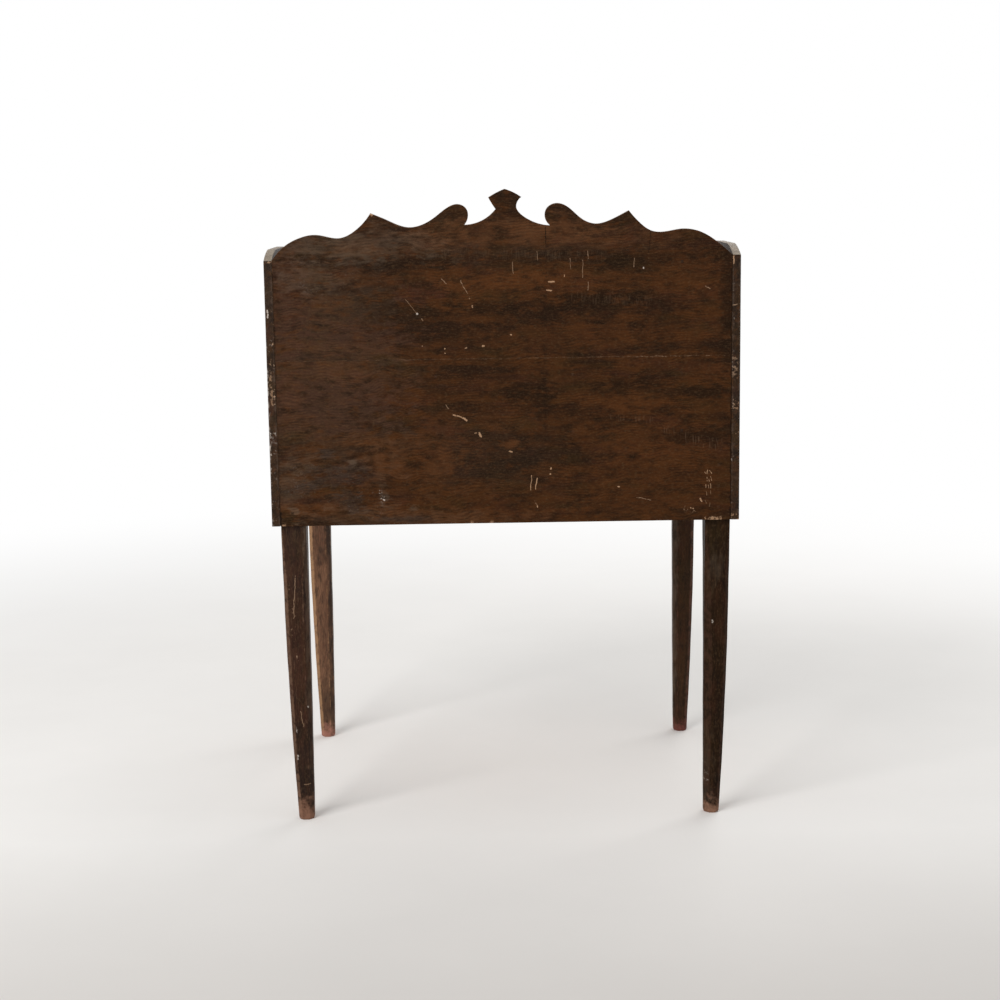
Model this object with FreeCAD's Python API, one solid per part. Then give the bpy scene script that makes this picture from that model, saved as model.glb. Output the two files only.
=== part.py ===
"""A bonheur du jour: a small writing desk with a scroll-cut back, built board by board.

Millimetres. +Z is up and the front faces -Y. The origin is on the floor, under the middle of the desk.
Left and right are as seen from the front, apart from the crest's, which are as seen from behind.
"""

import FreeCAD
import Part
import math
import os

Vector = FreeCAD.Vector

# Carcass
carcass_width = 850.0
carcass_depth = 612.0
leg_exposed_height = 566.0
apron_height = 156.0
side_thickness = 15.0
back_thickness = 12.0
back_lower_board_height = 300.0
board_arris = 0.9
housing_depth = 5.0

# Legs: square in the carcass, drawn in below it by the square of the drop, mostly on the two outer faces
leg_width = 45.5
foot_width = 28.5
inner_taper_share = 0.12
taper_stage_shares = [0.6, 0.38, 0.17]
knee_drop = 110.0
inner_knee_chamfer = 9.5
outer_knee_chamfer = 6.5
inner_foot_chamfer = 8.0
outer_foot_chamfer = 6.0
sole_wear_height = 5.0
sole_wear_inset = 1.8

# Writing board and its nosing
writing_board_thickness = 18.0
nosing_projection = 12.0

# Rails round the frieze drawer, and what the drawer runs on
rail_depth = 40.0
top_rail_height = 20.0
bottom_rail_height = 22.0
tenon_length = 20.0
tenon_thickness = 10.0
tenon_shoulder = 3.0
runner_bearing = 30.0
guide_height = 30.0
stop_length = 45.0
stop_height = 5.0
stop_depth = 16.0
stop_gap = 0.2
stop_place_share = 0.55

# Upper stage
upper_stage_depth = 230.0
small_drawer_bay_height = 90.0
middle_shelf_thickness = 10.0
pigeonhole_height = 188.0
top_shelf_thickness = 12.0
drawer_divider_thickness = 12.0
pigeonhole_divider_thickness = 8.0
divider_housing_depth = 3.0
divider_setback = 8.0
divider_hollow = 34.0
divider_flat_share = 0.14
small_drawer_count = 3
pigeonhole_count = 5

# Scroll-cut back: shares of half the back's width and of the crest's rise, seen from behind
shoulder_rise = 5.0
crest_rise = 121.0
left_shoulder_shares = [
    (-1.0, 0.0),
    (-0.959, 0.170),
    (-0.890, 0.313),
    (-0.802, 0.367),
    (-0.707, 0.317),
    (-0.629, 0.446),
    (-0.569, 0.674),
]
left_volute_shares = [
    (-0.569, 0.674),
    (-0.507, 0.585),
    (-0.405, 0.462),
    (-0.300, 0.583),
    (-0.238, 0.738),
    (-0.190, 0.789),
    (-0.153, 0.714),
    (-0.147, 0.621),
    (-0.163, 0.488),
]
left_sweep_shares = [(-0.163, 0.488), (-0.092, 0.540), (-0.028, 0.709)]
left_finial_shares = [(-0.028, 0.709), (-0.041, 0.775), (-0.059, 0.880)]
finial_top_left_shares = [(-0.059, 0.880), (-0.022, 0.951), (0.012, 1.0)]
finial_top_right_shares = [(0.012, 1.0), (0.048, 0.953), (0.084, 0.880)]
right_sweep_shares = [
    (0.084, 0.880),
    (0.066, 0.808),
    (0.062, 0.735),
    (0.081, 0.634),
    (0.115, 0.554),
    (0.149, 0.502),
    (0.207, 0.463),
]
right_volute_shares = [
    (0.207, 0.463),
    (0.185, 0.600),
    (0.192, 0.705),
    (0.239, 0.786),
    (0.288, 0.722),
    (0.340, 0.568),
    (0.408, 0.480),
    (0.461, 0.520),
    (0.513, 0.602),
    (0.549, 0.666),
]
right_shoulder_shares = [
    (0.549, 0.666),
    (0.583, 0.533),
    (0.651, 0.364),
    (0.684, 0.347),
    (0.783, 0.390),
    (0.850, 0.358),
    (0.945, 0.165),
    (1.0, 0.0),
]

# Side boards: a short rise from the back corner, a level top, then a sweep down to the writing board
side_peak_rise = 18.0
side_peak_run = 78.0
side_rise_shares = [(0.0, 0.0), (0.5, 0.66), (1.0, 1.0)]
wing_sweep_shares = [
    (0.0, 1.0),
    (0.075, 0.960),
    (0.122, 0.850),
    (0.140, 0.665),
    (0.188, 0.433),
    (0.315, 0.262),
    (0.524, 0.196),
    (0.733, 0.158),
    (0.864, 0.088),
    (0.916, 0.0),
]

# Drawers
drawer_running_gap = 0.3
drawer_side_gap = 1.0
drawer_head_gap = 1.5
drawer_rear_gap = 0.6
drawer_recess = 1.5
drawer_side_drop = 3.0
drawer_bottom_thickness = 6.0
drawer_bottom_lift = 7.0
drawer_groove_depth = 4.0
dovetail_lap = 5.0
tail_tip_share = 0.36
tail_root_share = 0.26
frieze_drawer_rear_space = 58.5
frieze_front_thickness = 18.0
frieze_lining_thickness = 11.0
frieze_tail_count = 3
frieze_knob_share = 0.5
small_front_thickness = 14.0
small_lining_thickness = 8.0
small_tail_count = 2

# Turned knobs: a spigot glued into the drawer front, a collar, a neck and a domed head
knob_fit = 0.05
frieze_knob_radius = 17.0
frieze_knob_projection = 30.0
frieze_spigot_radius = 7.0
small_knob_radius = 11.0
small_knob_projection = 20.0
small_spigot_radius = 4.5
knob_collar_share = 0.72
knob_collar_height_share = 0.12
knob_neck_share = 0.52
knob_neck_place_share = 0.34
knob_swell_share = 0.80
knob_swell_place_share = 0.55
knob_rim_place_share = 0.74

# Cut nails
nail_head_width = 5.0
nail_head_height = 1.2
nail_shank_width = 2.4
nail_length = 34.0
side_nail_shares = [0.25, 0.5, 0.75]
leg_back_nail_shares = [0.15, 0.4, 0.65]
board_back_nail_shares = [-0.78, -0.3, 0.3, 0.78]

# Planes that the boards share
half_width = carcass_width / 2
half_inside = half_width - side_thickness
front_projection = max(frieze_knob_projection - drawer_recess, nosing_projection)
y_back = (carcass_depth + front_projection) / 2
y_front = y_back - carcass_depth
y_back_inside = y_back - back_thickness
y_upper_front = y_back - upper_stage_depth
leg_inside = half_inside - leg_width
y_front_leg_rear = y_front + leg_width
y_back_leg_front = y_back_inside - leg_width

z_base = leg_exposed_height
z_apron_top = z_base + apron_height
z_writing = z_apron_top + writing_board_thickness
z_middle_shelf = z_writing + small_drawer_bay_height
z_pigeonhole = z_middle_shelf + middle_shelf_thickness
z_top_shelf = z_pigeonhole + pigeonhole_height
z_gallery = z_top_shelf + top_shelf_thickness
z_shoulder = z_gallery + shoulder_rise
z_side_peak = z_shoulder + side_peak_rise
z_back_joint = z_base + back_lower_board_height
z_drawer_floor = z_base + bottom_rail_height
z_drawer_head = z_apron_top - top_rail_height


def box(x_range, y_range, z_range):
    """A plain block between two planes on each axis."""
    low = Vector(x_range[0], y_range[0], z_range[0])
    return Part.makeBox(
        x_range[1] - x_range[0], y_range[1] - y_range[0], z_range[1] - z_range[0], low
    )


def board(x_range, y_range, z_range):
    """A planed board: a block with every arris taken off."""
    block = box(x_range, y_range, z_range)
    return block.makeChamfer(board_arris, block.Edges)


def curve(points):
    """One smooth edge through the points."""
    spline = Part.BSplineCurve()
    spline.interpolate(points)
    return spline.toShape()


def line(start, end):
    """One straight edge."""
    return Part.LineSegment(start, end).toShape()


def plate(edges, thickness):
    """A flat board cut to a closed outline and given its thickness along a vector."""
    return Part.Face(Part.Wire(edges)).extrude(thickness)


def polygon_plate(points, thickness):
    """A flat board with a straight-sided outline."""
    return Part.Face(Part.makePolygon(points + points[:1])).extrude(thickness)


def mirrored(shape):
    """The same piece on the other side of the desk's middle plane."""
    return shape.mirror(Vector(0, 0, 0), Vector(1, 0, 0))


def spaced(count, thickness):
    """The x ranges of the bays between the sides, and of the dividers that part them."""
    bay = (2 * half_inside - (count - 1) * thickness) / count
    starts = [-half_inside + i * (bay + thickness) for i in range(count)]
    bays = [(start, start + bay) for start in starts]
    dividers = [(end, end + thickness) for _, end in bays[:-1]]
    return bays, dividers


def crest_point(share):
    """A point of the crest, from its shares, on the back's outer face."""
    return Vector(-share[0] * half_inside, y_back, z_shoulder + share[1] * crest_rise)


def make_back_boards():
    """Two wide boards, edge to edge: a plain lower one and an upper one with the scroll-cut crest."""
    stretches = [
        left_shoulder_shares,
        left_volute_shares,
        left_sweep_shares,
        left_finial_shares,
        finial_top_left_shares,
        finial_top_right_shares,
        right_sweep_shares,
        right_volute_shares,
        right_shoulder_shares,
    ]
    edges = [curve([crest_point(share) for share in stretch]) for stretch in stretches]
    start = crest_point(left_shoulder_shares[0])
    end = crest_point(right_shoulder_shares[-1])
    joint_end = Vector(end.x, y_back, z_back_joint)
    joint_start = Vector(start.x, y_back, z_back_joint)
    edges += [line(end, joint_end), line(joint_end, joint_start), line(joint_start, start)]
    upper = plate(edges, Vector(0, -back_thickness, 0))
    lower = board(
        (-half_inside, half_inside), (y_back_inside, y_back), (z_base, z_back_joint)
    )
    return {"back_board_upper": upper, "back_board_lower": lower}


def make_side_board():
    """The side board on the right as seen from the front, cut to its outline in the YZ plane."""

    def at(from_back, height):
        return Vector(half_inside, y_back - from_back, height)

    writing_span = carcass_depth - upper_stage_depth
    wing_height = z_side_peak - z_writing
    rise = [
        at(share[0] * side_peak_run, z_shoulder + share[1] * side_peak_rise)
        for share in side_rise_shares
    ]
    sweep = [
        at(upper_stage_depth + share[0] * writing_span, z_writing + share[1] * wing_height)
        for share in wing_sweep_shares
    ]
    front_top = at(carcass_depth, z_writing)
    front_foot = at(carcass_depth, z_base)
    back_foot = at(0, z_base)
    edges = [
        line(back_foot, rise[0]),
        curve(rise),
        line(rise[-1], sweep[0]),
        curve(sweep),
        line(sweep[-1], front_top),
        line(front_top, front_foot),
        line(front_foot, back_foot),
    ]
    return plate(edges, Vector(side_thickness, 0, 0))


def leg_section(height, inner_chamfer, outer_chamfer):
    """The chamfered square of the back right leg at a height."""
    drop = max(0, 1 - height / leg_exposed_height)
    taper = (leg_width - foot_width) * drop**2
    inner_taper = inner_taper_share * taper
    outer_taper = taper - inner_taper
    inner_x = leg_inside + inner_taper
    outer_x = half_inside - outer_taper
    inner_y = y_back_leg_front + inner_taper
    outer_y = y_back_inside - outer_taper
    corners = [
        (inner_x + inner_chamfer, inner_y),
        (outer_x - outer_chamfer, inner_y),
        (outer_x, inner_y + outer_chamfer),
        (outer_x, outer_y - outer_chamfer),
        (outer_x - outer_chamfer, outer_y),
        (inner_x + inner_chamfer, outer_y),
        (inner_x, outer_y - inner_chamfer),
        (inner_x, inner_y + inner_chamfer),
    ]
    points = [Vector(x, y, height) for x, y in corners]
    return Part.makePolygon(points + points[:1])


def make_leg():
    """The back right leg, from its post in the carcass to its worn sole."""
    z_knee = z_base - knee_drop

    def below_knee(height):
        share = height / z_knee
        inner = inner_foot_chamfer + share * (inner_knee_chamfer - inner_foot_chamfer)
        outer = outer_foot_chamfer + share * (outer_knee_chamfer - outer_foot_chamfer)
        return leg_section(height, inner, outer)

    sole = below_knee(0)
    centre = sole.BoundBox.Center
    wear = 1 - 2 * sole_wear_inset / foot_width
    stages = [share * leg_exposed_height for share in taper_stage_shares]
    sections = [
        leg_section(z_apron_top, board_arris, board_arris),
        leg_section(z_base, board_arris, board_arris),
        *[below_knee(height) for height in (z_knee, *stages, sole_wear_height)],
        sole.scale(wear, Vector(centre.x, centre.y, 0)),
    ]
    return Part.makeLoft(sections, True, True)


def make_legs():
    """Four legs: the front pair are the back pair turned to face the front."""
    back_right = make_leg()
    leg_middle = (y_front + y_back_inside) / 2
    front_right = back_right.mirror(Vector(0, leg_middle, 0), Vector(0, 1, 0))
    return {
        "leg_back_right": back_right,
        "leg_back_left": mirrored(back_right),
        "leg_front_right": front_right,
        "leg_front_left": mirrored(front_right),
    }


def make_rail(z_range):
    """A front rail between the front legs, with a tenon at each end."""
    rail = box((-leg_inside, leg_inside), (y_front, y_front + rail_depth), z_range)
    tenon_y = y_front + (rail_depth - tenon_thickness) / 2
    tenon_reach = leg_inside + tenon_length
    tenon = box(
        (-tenon_reach, tenon_reach),
        (tenon_y, tenon_y + tenon_thickness),
        (z_range[0] + tenon_shoulder, z_range[1] - tenon_shoulder),
    )
    return rail.fuse(tenon).removeSplitter()


def make_writing_board():
    """The writing board, housed into both sides, and the rounded nosing along its front edge."""
    reach = half_inside + housing_depth
    top = box((-reach, reach), (y_front, y_back_inside), (z_apron_top, z_writing))
    nosing = box(
        (-half_width, half_width), (y_front - nosing_projection, y_front), (z_apron_top, z_writing)
    )
    front_edges = [
        edge
        for edge in nosing.Edges
        if edge.BoundBox.YMax < y_front and edge.BoundBox.XLength > nosing_projection
    ]
    round_radius = min(nosing_projection, writing_board_thickness / 2) - board_arris
    return {"writing_board": top, "writing_board_nosing": nosing.makeFillet(round_radius, front_edges)}


def make_drawer_supports():
    """Runners, guides and kickers between the legs, and the stops on the bottom rail."""
    span = (y_front_leg_rear, y_back_leg_front)
    bearing = (leg_inside - runner_bearing, half_inside)
    runner = box(bearing, span, (z_base, z_drawer_floor))
    guide = box((leg_inside, half_inside), span, (z_drawer_floor, z_drawer_floor + guide_height))
    kicker = box(bearing, span, (z_drawer_head, z_apron_top))
    stop_x = stop_place_share * leg_inside
    stop_y = y_front + drawer_recess + frieze_front_thickness + stop_gap
    stop = box(
        (stop_x, stop_x + stop_length),
        (stop_y, stop_y + stop_depth),
        (z_drawer_floor, z_drawer_floor + stop_height),
    )
    return {
        "drawer_runner_right": runner,
        "drawer_runner_left": mirrored(runner),
        "drawer_guide_right": guide,
        "drawer_guide_left": mirrored(guide),
        "drawer_kicker_right": kicker,
        "drawer_kicker_left": mirrored(kicker),
        "drawer_stops": Part.makeCompound([stop, mirrored(stop)]),
    }


def make_shelf(z_range):
    """A shelf of the upper stage, housed into both sides."""
    reach = half_inside + housing_depth
    return box((-reach, reach), (y_upper_front, y_back_inside), z_range)


def make_pigeonhole_divider(x_range):
    """A thin upright with a hollowed front edge, housed into the shelf below and the one above."""
    bottom = z_pigeonhole - divider_housing_depth
    top = z_top_shelf + divider_housing_depth
    flat = divider_flat_share * pigeonhole_height
    y_edge = y_upper_front + divider_setback
    x = x_range[0]
    hollow_start = Vector(x, y_edge, z_pigeonhole + flat)
    hollow_deep = Vector(x, y_edge + divider_hollow, (z_pigeonhole + z_top_shelf) / 2)
    hollow_end = Vector(x, y_edge, z_top_shelf - flat)
    front_foot = Vector(x, y_edge, bottom)
    front_head = Vector(x, y_edge, top)
    back_head = Vector(x, y_back_inside, top)
    back_foot = Vector(x, y_back_inside, bottom)
    edges = [
        line(front_foot, hollow_start),
        Part.Arc(hollow_start, hollow_deep, hollow_end).toShape(),
        line(hollow_end, front_head),
        line(front_head, back_head),
        line(back_head, back_foot),
        line(back_foot, front_foot),
    ]
    return plate(edges, Vector(x_range[1] - x_range[0], 0, 0))


def make_upper_stage():
    """Shelves and uprights of the upper stage, with every upright housed at both ends."""
    middle = make_shelf((z_middle_shelf, z_pigeonhole))
    top = make_shelf((z_top_shelf, z_gallery))
    _, drawer_uprights = spaced(small_drawer_count, drawer_divider_thickness)
    _, pigeonhole_uprights = spaced(pigeonhole_count, pigeonhole_divider_thickness)
    pieces = {}
    for number, x_range in enumerate(drawer_uprights, 1):
        pieces[f"drawer_divider_{number}"] = box(
            x_range,
            (y_upper_front, y_back_inside),
            (z_writing - divider_housing_depth, z_middle_shelf + divider_housing_depth),
        )
    for number, x_range in enumerate(pigeonhole_uprights, 1):
        pieces[f"pigeonhole_divider_{number}"] = make_pigeonhole_divider(x_range)
    uprights = list(pieces.values())
    pieces["middle_shelf"] = middle.cut(uprights)
    pieces["top_shelf"] = top.cut(uprights)
    return pieces


def make_drawer_side(x_range, y_face, front_thickness, y_end, z_range, tail_count):
    """A drawer side with lapped dovetail tails at the front end, cut in the YZ plane."""
    y_tip = y_face + dovetail_lap
    y_root = y_face + front_thickness
    pitch = (z_range[1] - z_range[0]) / tail_count
    outline = [(y_end, z_range[0]), (y_root, z_range[0])]
    for number in range(tail_count):
        middle = z_range[0] + (number + 1 / 2) * pitch
        outline += [
            (y_root, middle - tail_root_share * pitch),
            (y_tip, middle - tail_tip_share * pitch),
            (y_tip, middle + tail_tip_share * pitch),
            (y_root, middle + tail_root_share * pitch),
        ]
    outline += [(y_root, z_range[1]), (y_end, z_range[1])]
    points = [Vector(x_range[0], y, z) for y, z in outline]
    return polygon_plate(points, Vector(x_range[1] - x_range[0], 0, 0))


def make_knob(x, y_face, z, radius, projection, spigot_radius, spigot_length):
    """A turned knob on an axis along Y, its collar seated on the drawer front."""

    def at(from_axis, out):
        return Vector(x + from_axis, y_face - out, z)

    collar = knob_collar_share * radius
    collar_height = knob_collar_height_share * projection
    neck = at(knob_neck_share * radius, knob_neck_place_share * projection)
    under_rim = at(knob_swell_share * radius, knob_swell_place_share * projection)
    rim = at(radius, knob_rim_place_share * projection)
    dome_height = (1 - knob_rim_place_share) * projection
    dome_radius = (radius**2 + dome_height**2) / (2 * dome_height)
    dome_half_angle = math.asin(radius / dome_radius) / 2
    dome_sag = dome_radius * (1 - math.cos(dome_half_angle))
    dome = at(dome_radius * math.sin(dome_half_angle), projection - dome_sag)
    edges = [
        line(at(0, -spigot_length), at(spigot_radius, -spigot_length)),
        line(at(spigot_radius, -spigot_length), at(spigot_radius, 0)),
        line(at(spigot_radius, 0), at(collar, 0)),
        line(at(collar, 0), at(collar, collar_height)),
        curve([at(collar, collar_height), neck, under_rim, rim]),
        Part.Arc(rim, dome, at(0, projection)).toShape(),
        line(at(0, projection), at(0, -spigot_length)),
    ]
    profile = Part.Face(Part.Wire(edges))
    return profile.revolve(Vector(x, y_face, z), Vector(0, 1, 0), 360)


def make_drawer(name, x_range, y_face, y_end, z_range, front_thickness, lining, tail_count, knobs):
    """A drawer: dovetailed front and sides, a back above the bottom, the bottom in grooves, and knobs.

    knobs is a list of (node, x, radius, projection, spigot radius).
    """
    z_side = (z_range[0], z_range[1] - drawer_side_drop)
    z_bottom = z_range[0] + drawer_bottom_lift
    z_bottom_top = z_bottom + drawer_bottom_thickness
    z_knob = (z_range[0] + z_range[1]) / 2
    left = make_drawer_side(
        (x_range[0], x_range[0] + lining), y_face, front_thickness, y_end, z_side, tail_count
    )
    right = make_drawer_side(
        (x_range[1] - lining, x_range[1]), y_face, front_thickness, y_end, z_side, tail_count
    )
    bottom_reach = lining - drawer_groove_depth
    bottom = box(
        (x_range[0] + bottom_reach, x_range[1] - bottom_reach),
        (y_face + front_thickness - drawer_groove_depth, y_end),
        (z_bottom, z_bottom_top),
    )
    rear = box(
        (x_range[0] + lining, x_range[1] - lining),
        (y_end - lining, y_end),
        (z_bottom_top, z_side[1] - drawer_side_drop),
    )
    front = board(x_range, (y_face, y_face + front_thickness), z_range)
    front = front.cut([left, right, bottom])
    pieces = {
        f"{name}_side_left": left.cut(bottom),
        f"{name}_side_right": right.cut(bottom),
        f"{name}_bottom": bottom,
        f"{name}_back": rear,
    }
    for node, x, radius, projection, spigot_radius in knobs:
        pieces[node] = make_knob(x, y_face, z_knob, radius, projection, spigot_radius, front_thickness)
        hole = Part.makeCylinder(
            spigot_radius + knob_fit, front_thickness, Vector(x, y_face, z_knob), Vector(0, 1, 0)
        )
        front = front.cut(hole)
    pieces[f"{name}_front"] = front
    return pieces


def make_frieze_drawer():
    """The wide drawer in the apron, between the front legs."""
    reach = leg_inside - drawer_side_gap
    y_face = y_front + drawer_recess
    knob_x = frieze_knob_share * reach
    knob = (frieze_knob_radius, frieze_knob_projection, frieze_spigot_radius)
    return make_drawer(
        "frieze_drawer",
        (-reach, reach),
        y_face,
        y_back_inside - frieze_drawer_rear_space,
        (z_drawer_floor + drawer_running_gap, z_drawer_head - drawer_head_gap),
        frieze_front_thickness,
        frieze_lining_thickness,
        frieze_tail_count,
        [("frieze_knob_left", -knob_x, *knob), ("frieze_knob_right", knob_x, *knob)],
    )


def make_small_drawers():
    """A row of small drawers that run on the writing board, under the middle shelf."""
    bays, _ = spaced(small_drawer_count, drawer_divider_thickness)
    pieces = {}
    for number, (start, end) in enumerate(bays, 1):
        name = f"small_drawer_{number}"
        knob = (f"small_knob_{number}", (start + end) / 2)
        pieces |= make_drawer(
            name,
            (start + drawer_side_gap, end - drawer_side_gap),
            y_upper_front + drawer_recess,
            y_back_inside - drawer_rear_gap,
            (z_writing + drawer_running_gap, z_middle_shelf - drawer_head_gap),
            small_front_thickness,
            small_lining_thickness,
            small_tail_count,
            [(*knob, small_knob_radius, small_knob_projection, small_spigot_radius)],
        )
    return pieces


def nail(head, direction):
    """A square cut nail, its head flush with the face at the point and its shank along the direction."""
    shank = box(
        (-nail_shank_width / 2, nail_shank_width / 2),
        (-nail_shank_width / 2, nail_shank_width / 2),
        (0, nail_length),
    )
    cap = box(
        (-nail_head_width / 2, nail_head_width / 2),
        (-nail_head_width / 2, nail_head_width / 2),
        (0, nail_head_height),
    )
    whole = cap.fuse(shank).removeSplitter()
    whole.Placement = FreeCAD.Placement(head, FreeCAD.Rotation(Vector(0, 0, 1), direction))
    return whole


def make_nails():
    """Nails through the sides into the legs, and through the back into the legs and the boards."""
    leg_middles = (y_front + leg_width / 2, y_back_inside - leg_width / 2)
    side_nails = [
        nail(Vector(half_width, y, z_base + share * apron_height), Vector(-1, 0, 0))
        for y in leg_middles
        for share in side_nail_shares
    ]
    leg_nails = [
        nail(
            Vector(half_inside - leg_width / 2, y_back, z_base + share * apron_height), Vector(0, -1, 0)
        )
        for share in leg_back_nail_shares
    ]
    board_middles = (
        z_writing - writing_board_thickness / 2,
        z_pigeonhole - middle_shelf_thickness / 2,
        z_gallery - top_shelf_thickness / 2,
    )
    board_nails = [
        nail(Vector(share * half_inside, y_back, z), Vector(0, -1, 0))
        for z in board_middles
        for share in board_back_nail_shares
    ]
    sides = side_nails + [mirrored(shape) for shape in side_nails]
    back = leg_nails + [mirrored(shape) for shape in leg_nails] + board_nails
    return {"side_nails": Part.makeCompound(sides), "back_nails": Part.makeCompound(back)}


def make_carcass():
    """Everything that stays still, with the joints between the boards cut."""
    nails = make_nails()
    rails = {
        "frieze_rail_top": make_rail((z_drawer_head, z_apron_top)),
        "frieze_rail_bottom": make_rail((z_base, z_drawer_floor)),
    }
    writing = make_writing_board()
    stage = make_upper_stage()
    housed = [writing["writing_board"], stage["middle_shelf"], stage["top_shelf"]]
    drawer_uprights = [shape for node, shape in stage.items() if node.startswith("drawer_divider")]
    side = make_side_board()
    nailed = make_legs()
    for node in ("leg_front_left", "leg_front_right"):
        nailed[node] = nailed[node].cut(list(rails.values()))
    nailed["side_board_right"] = side.cut(housed)
    nailed["side_board_left"] = mirrored(side).cut(housed)
    nailed["writing_board"] = writing["writing_board"].cut(drawer_uprights)
    nailed["middle_shelf"] = stage.pop("middle_shelf")
    nailed["top_shelf"] = stage.pop("top_shelf")
    nailed |= make_back_boards()
    shanks = nails["side_nails"].Solids + nails["back_nails"].Solids
    pieces = {node: shape.cut(shanks) for node, shape in nailed.items()}
    pieces["writing_board_nosing"] = writing["writing_board_nosing"]
    return pieces | rails | stage | make_drawer_supports() | nails


def main():
    """Builds every piece and writes one STEP file for each node."""
    os.makedirs("parts", exist_ok=True)
    pieces = make_carcass() | make_frieze_drawer() | make_small_drawers()
    for node, shape in sorted(pieces.items()):
        shape.exportStep(f"parts/{node}.step")
    whole = Part.makeCompound(list(pieces.values())).BoundBox
    print(f"{len(pieces)} nodes, {whole.XLength:.1f} x {whole.YLength:.1f} x {whole.ZLength:.1f} mm")


main()
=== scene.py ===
"""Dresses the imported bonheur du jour: worn grained boards, chamfered legs, turned knobs and a plain studio.

Sizes are in millimetres and are turned to metres where a mesh is made. The front of the desk faces -Y and
its scroll-cut back faces +Y. Left and right are as seen from the front.
"""

import logging
import math
from dataclasses import dataclass
from enum import Enum

import bmesh
import bpy
import numpy as np
from mathutils import Matrix, Vector
from mathutils.geometry import delaunay_2d_cdt


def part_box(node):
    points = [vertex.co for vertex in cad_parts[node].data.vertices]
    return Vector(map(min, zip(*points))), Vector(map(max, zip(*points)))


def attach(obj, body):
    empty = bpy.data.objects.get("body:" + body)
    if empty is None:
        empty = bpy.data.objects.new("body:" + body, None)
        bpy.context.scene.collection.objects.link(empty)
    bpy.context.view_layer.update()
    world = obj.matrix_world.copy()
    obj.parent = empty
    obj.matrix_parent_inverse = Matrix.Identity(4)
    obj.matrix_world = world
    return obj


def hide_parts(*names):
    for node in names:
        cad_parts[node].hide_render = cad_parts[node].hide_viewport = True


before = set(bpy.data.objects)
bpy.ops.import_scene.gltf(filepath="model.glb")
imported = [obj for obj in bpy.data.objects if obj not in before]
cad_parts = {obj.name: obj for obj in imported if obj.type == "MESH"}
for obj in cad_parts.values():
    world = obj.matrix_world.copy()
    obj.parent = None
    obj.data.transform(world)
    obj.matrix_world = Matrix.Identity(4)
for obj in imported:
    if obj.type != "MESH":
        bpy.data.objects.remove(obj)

LOG = logging.getLogger("bonheur_du_jour")
MM = 0.001
# Pale grey of dust on top faces, which also stands in for the sheen of light grazing them
DUST_AND_SHEEN = "#a89a88"
BARE_WOOD = "#8d6640"
EASE = {"interpolation_type": "SMOOTHSTEP"}
RGBA = {"data_type": "RGBA"}
WHITE = (1.0, 1.0, 1.0, 1.0)
# Shares of a mark's width at which it starts to show and shows in full
MARK_FADE = (0.6, 0.25)
# A wave texture turns ten radians a unit, so this scale makes one line a unit
WAVE_SCALE = 0.628
# The least that a sharp corner's mitre is divided by
MITRE_LIMIT = 0.45
# How strongly the paint is rubbed along an edge beside its arris
EDGE_WEAR = 0.8
# Share of the pitch that a face's inner points keep from its rim
RIM_CLEARANCE = 0.45
# How near two points of a face are taken to be one
NET_TOLERANCE = 1e-5
# Over how many millimetres paint or marks fade out at their limit
LIMIT_FADE = 2.0
# How strongly clumps gather the specks
CLUMP_SHARE = 0.6
# How much the rub of the floor adds to the grime at a foot
FOOT_SHARE = 0.6
# How far the dust and painted sheen on a top face are lifted before grime thins them
DUST_AND_SHEEN_GAIN = 1.7
# How much rougher a chip is than the varnish
CHIP_ROUGHNESS = 0.3
# How much the grain breaks up the rubbed places of a knob
KNOB_GRAIN = 0.9

Point = tuple[float, float]
Socket = bpy.types.NodeSocket
Colour = tuple[float, float, float, float]


class Axis(Enum):
    """A row axis, by its place in a vector."""

    X = 0
    Y = 1
    Z = 2


class Body(Enum):
    """The desk's rigid bodies."""

    CARCASS = "carcass"
    FRIEZE_DRAWER = "frieze_drawer"
    SMALL_DRAWER_1 = "small_drawer_1"
    SMALL_DRAWER_2 = "small_drawer_2"
    SMALL_DRAWER_3 = "small_drawer_3"


class Slot(Enum):
    """The record's material slots, as names passed with new pieces."""

    GRAINED_WOOD = "grained_wood"
    KNOB_WOOD = "knob_wood"


class Side(Enum):
    """Which way a piece lies from the desk's middle plane, as the sign of its x."""

    LEFT = -1
    RIGHT = 1


class Tone(Enum):
    """What a cloudy place in the paint shows, as sRGB. Some tones also stand for painted light."""

    WARM = "#492911"
    DARK = "#1c0f05"
    SMOKE = "#30241e"
    RED = "#3c2014"
    OLIVE = "#2f210d"
    BLOOM = "#5d4e40"
    # Varnish bloom, also used as painted sheen where window light rakes the back and as a painted reflection
    PAINTED_GLINTS = "#5a4630"
    # Painted highlight: pale specks that stand in for glints on the varnish
    FADED_AND_LIT = "#72503a"
# Faded paint; on the front right leg, painted light where the window light falls


class MarkKind(Enum):
    """What a mark shows, as sRGB, and how far it stands out of the paint or is sunk into it."""

    CRACK = ("#140c07", -2.0)
    SCRATCH = ("#8c715a", -0.4)
    PALE = ("#b5a99e", 0.2)
    CHIP = ("#a98668", -1.5)

    def __init__(self, colour: str, relief: float) -> None:
        """Keeps the colour and the relief."""
        self.colour = colour
        self.relief = relief


class BreakUp(Enum):
    """How a mark is broken up: left whole, torn into pieces, scattered as specks, or combed into ticks."""

    WHOLE = "whole"
    TORN = "torn"
    SPECKLED = "speckled"
    COMBED = "combed"


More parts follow.
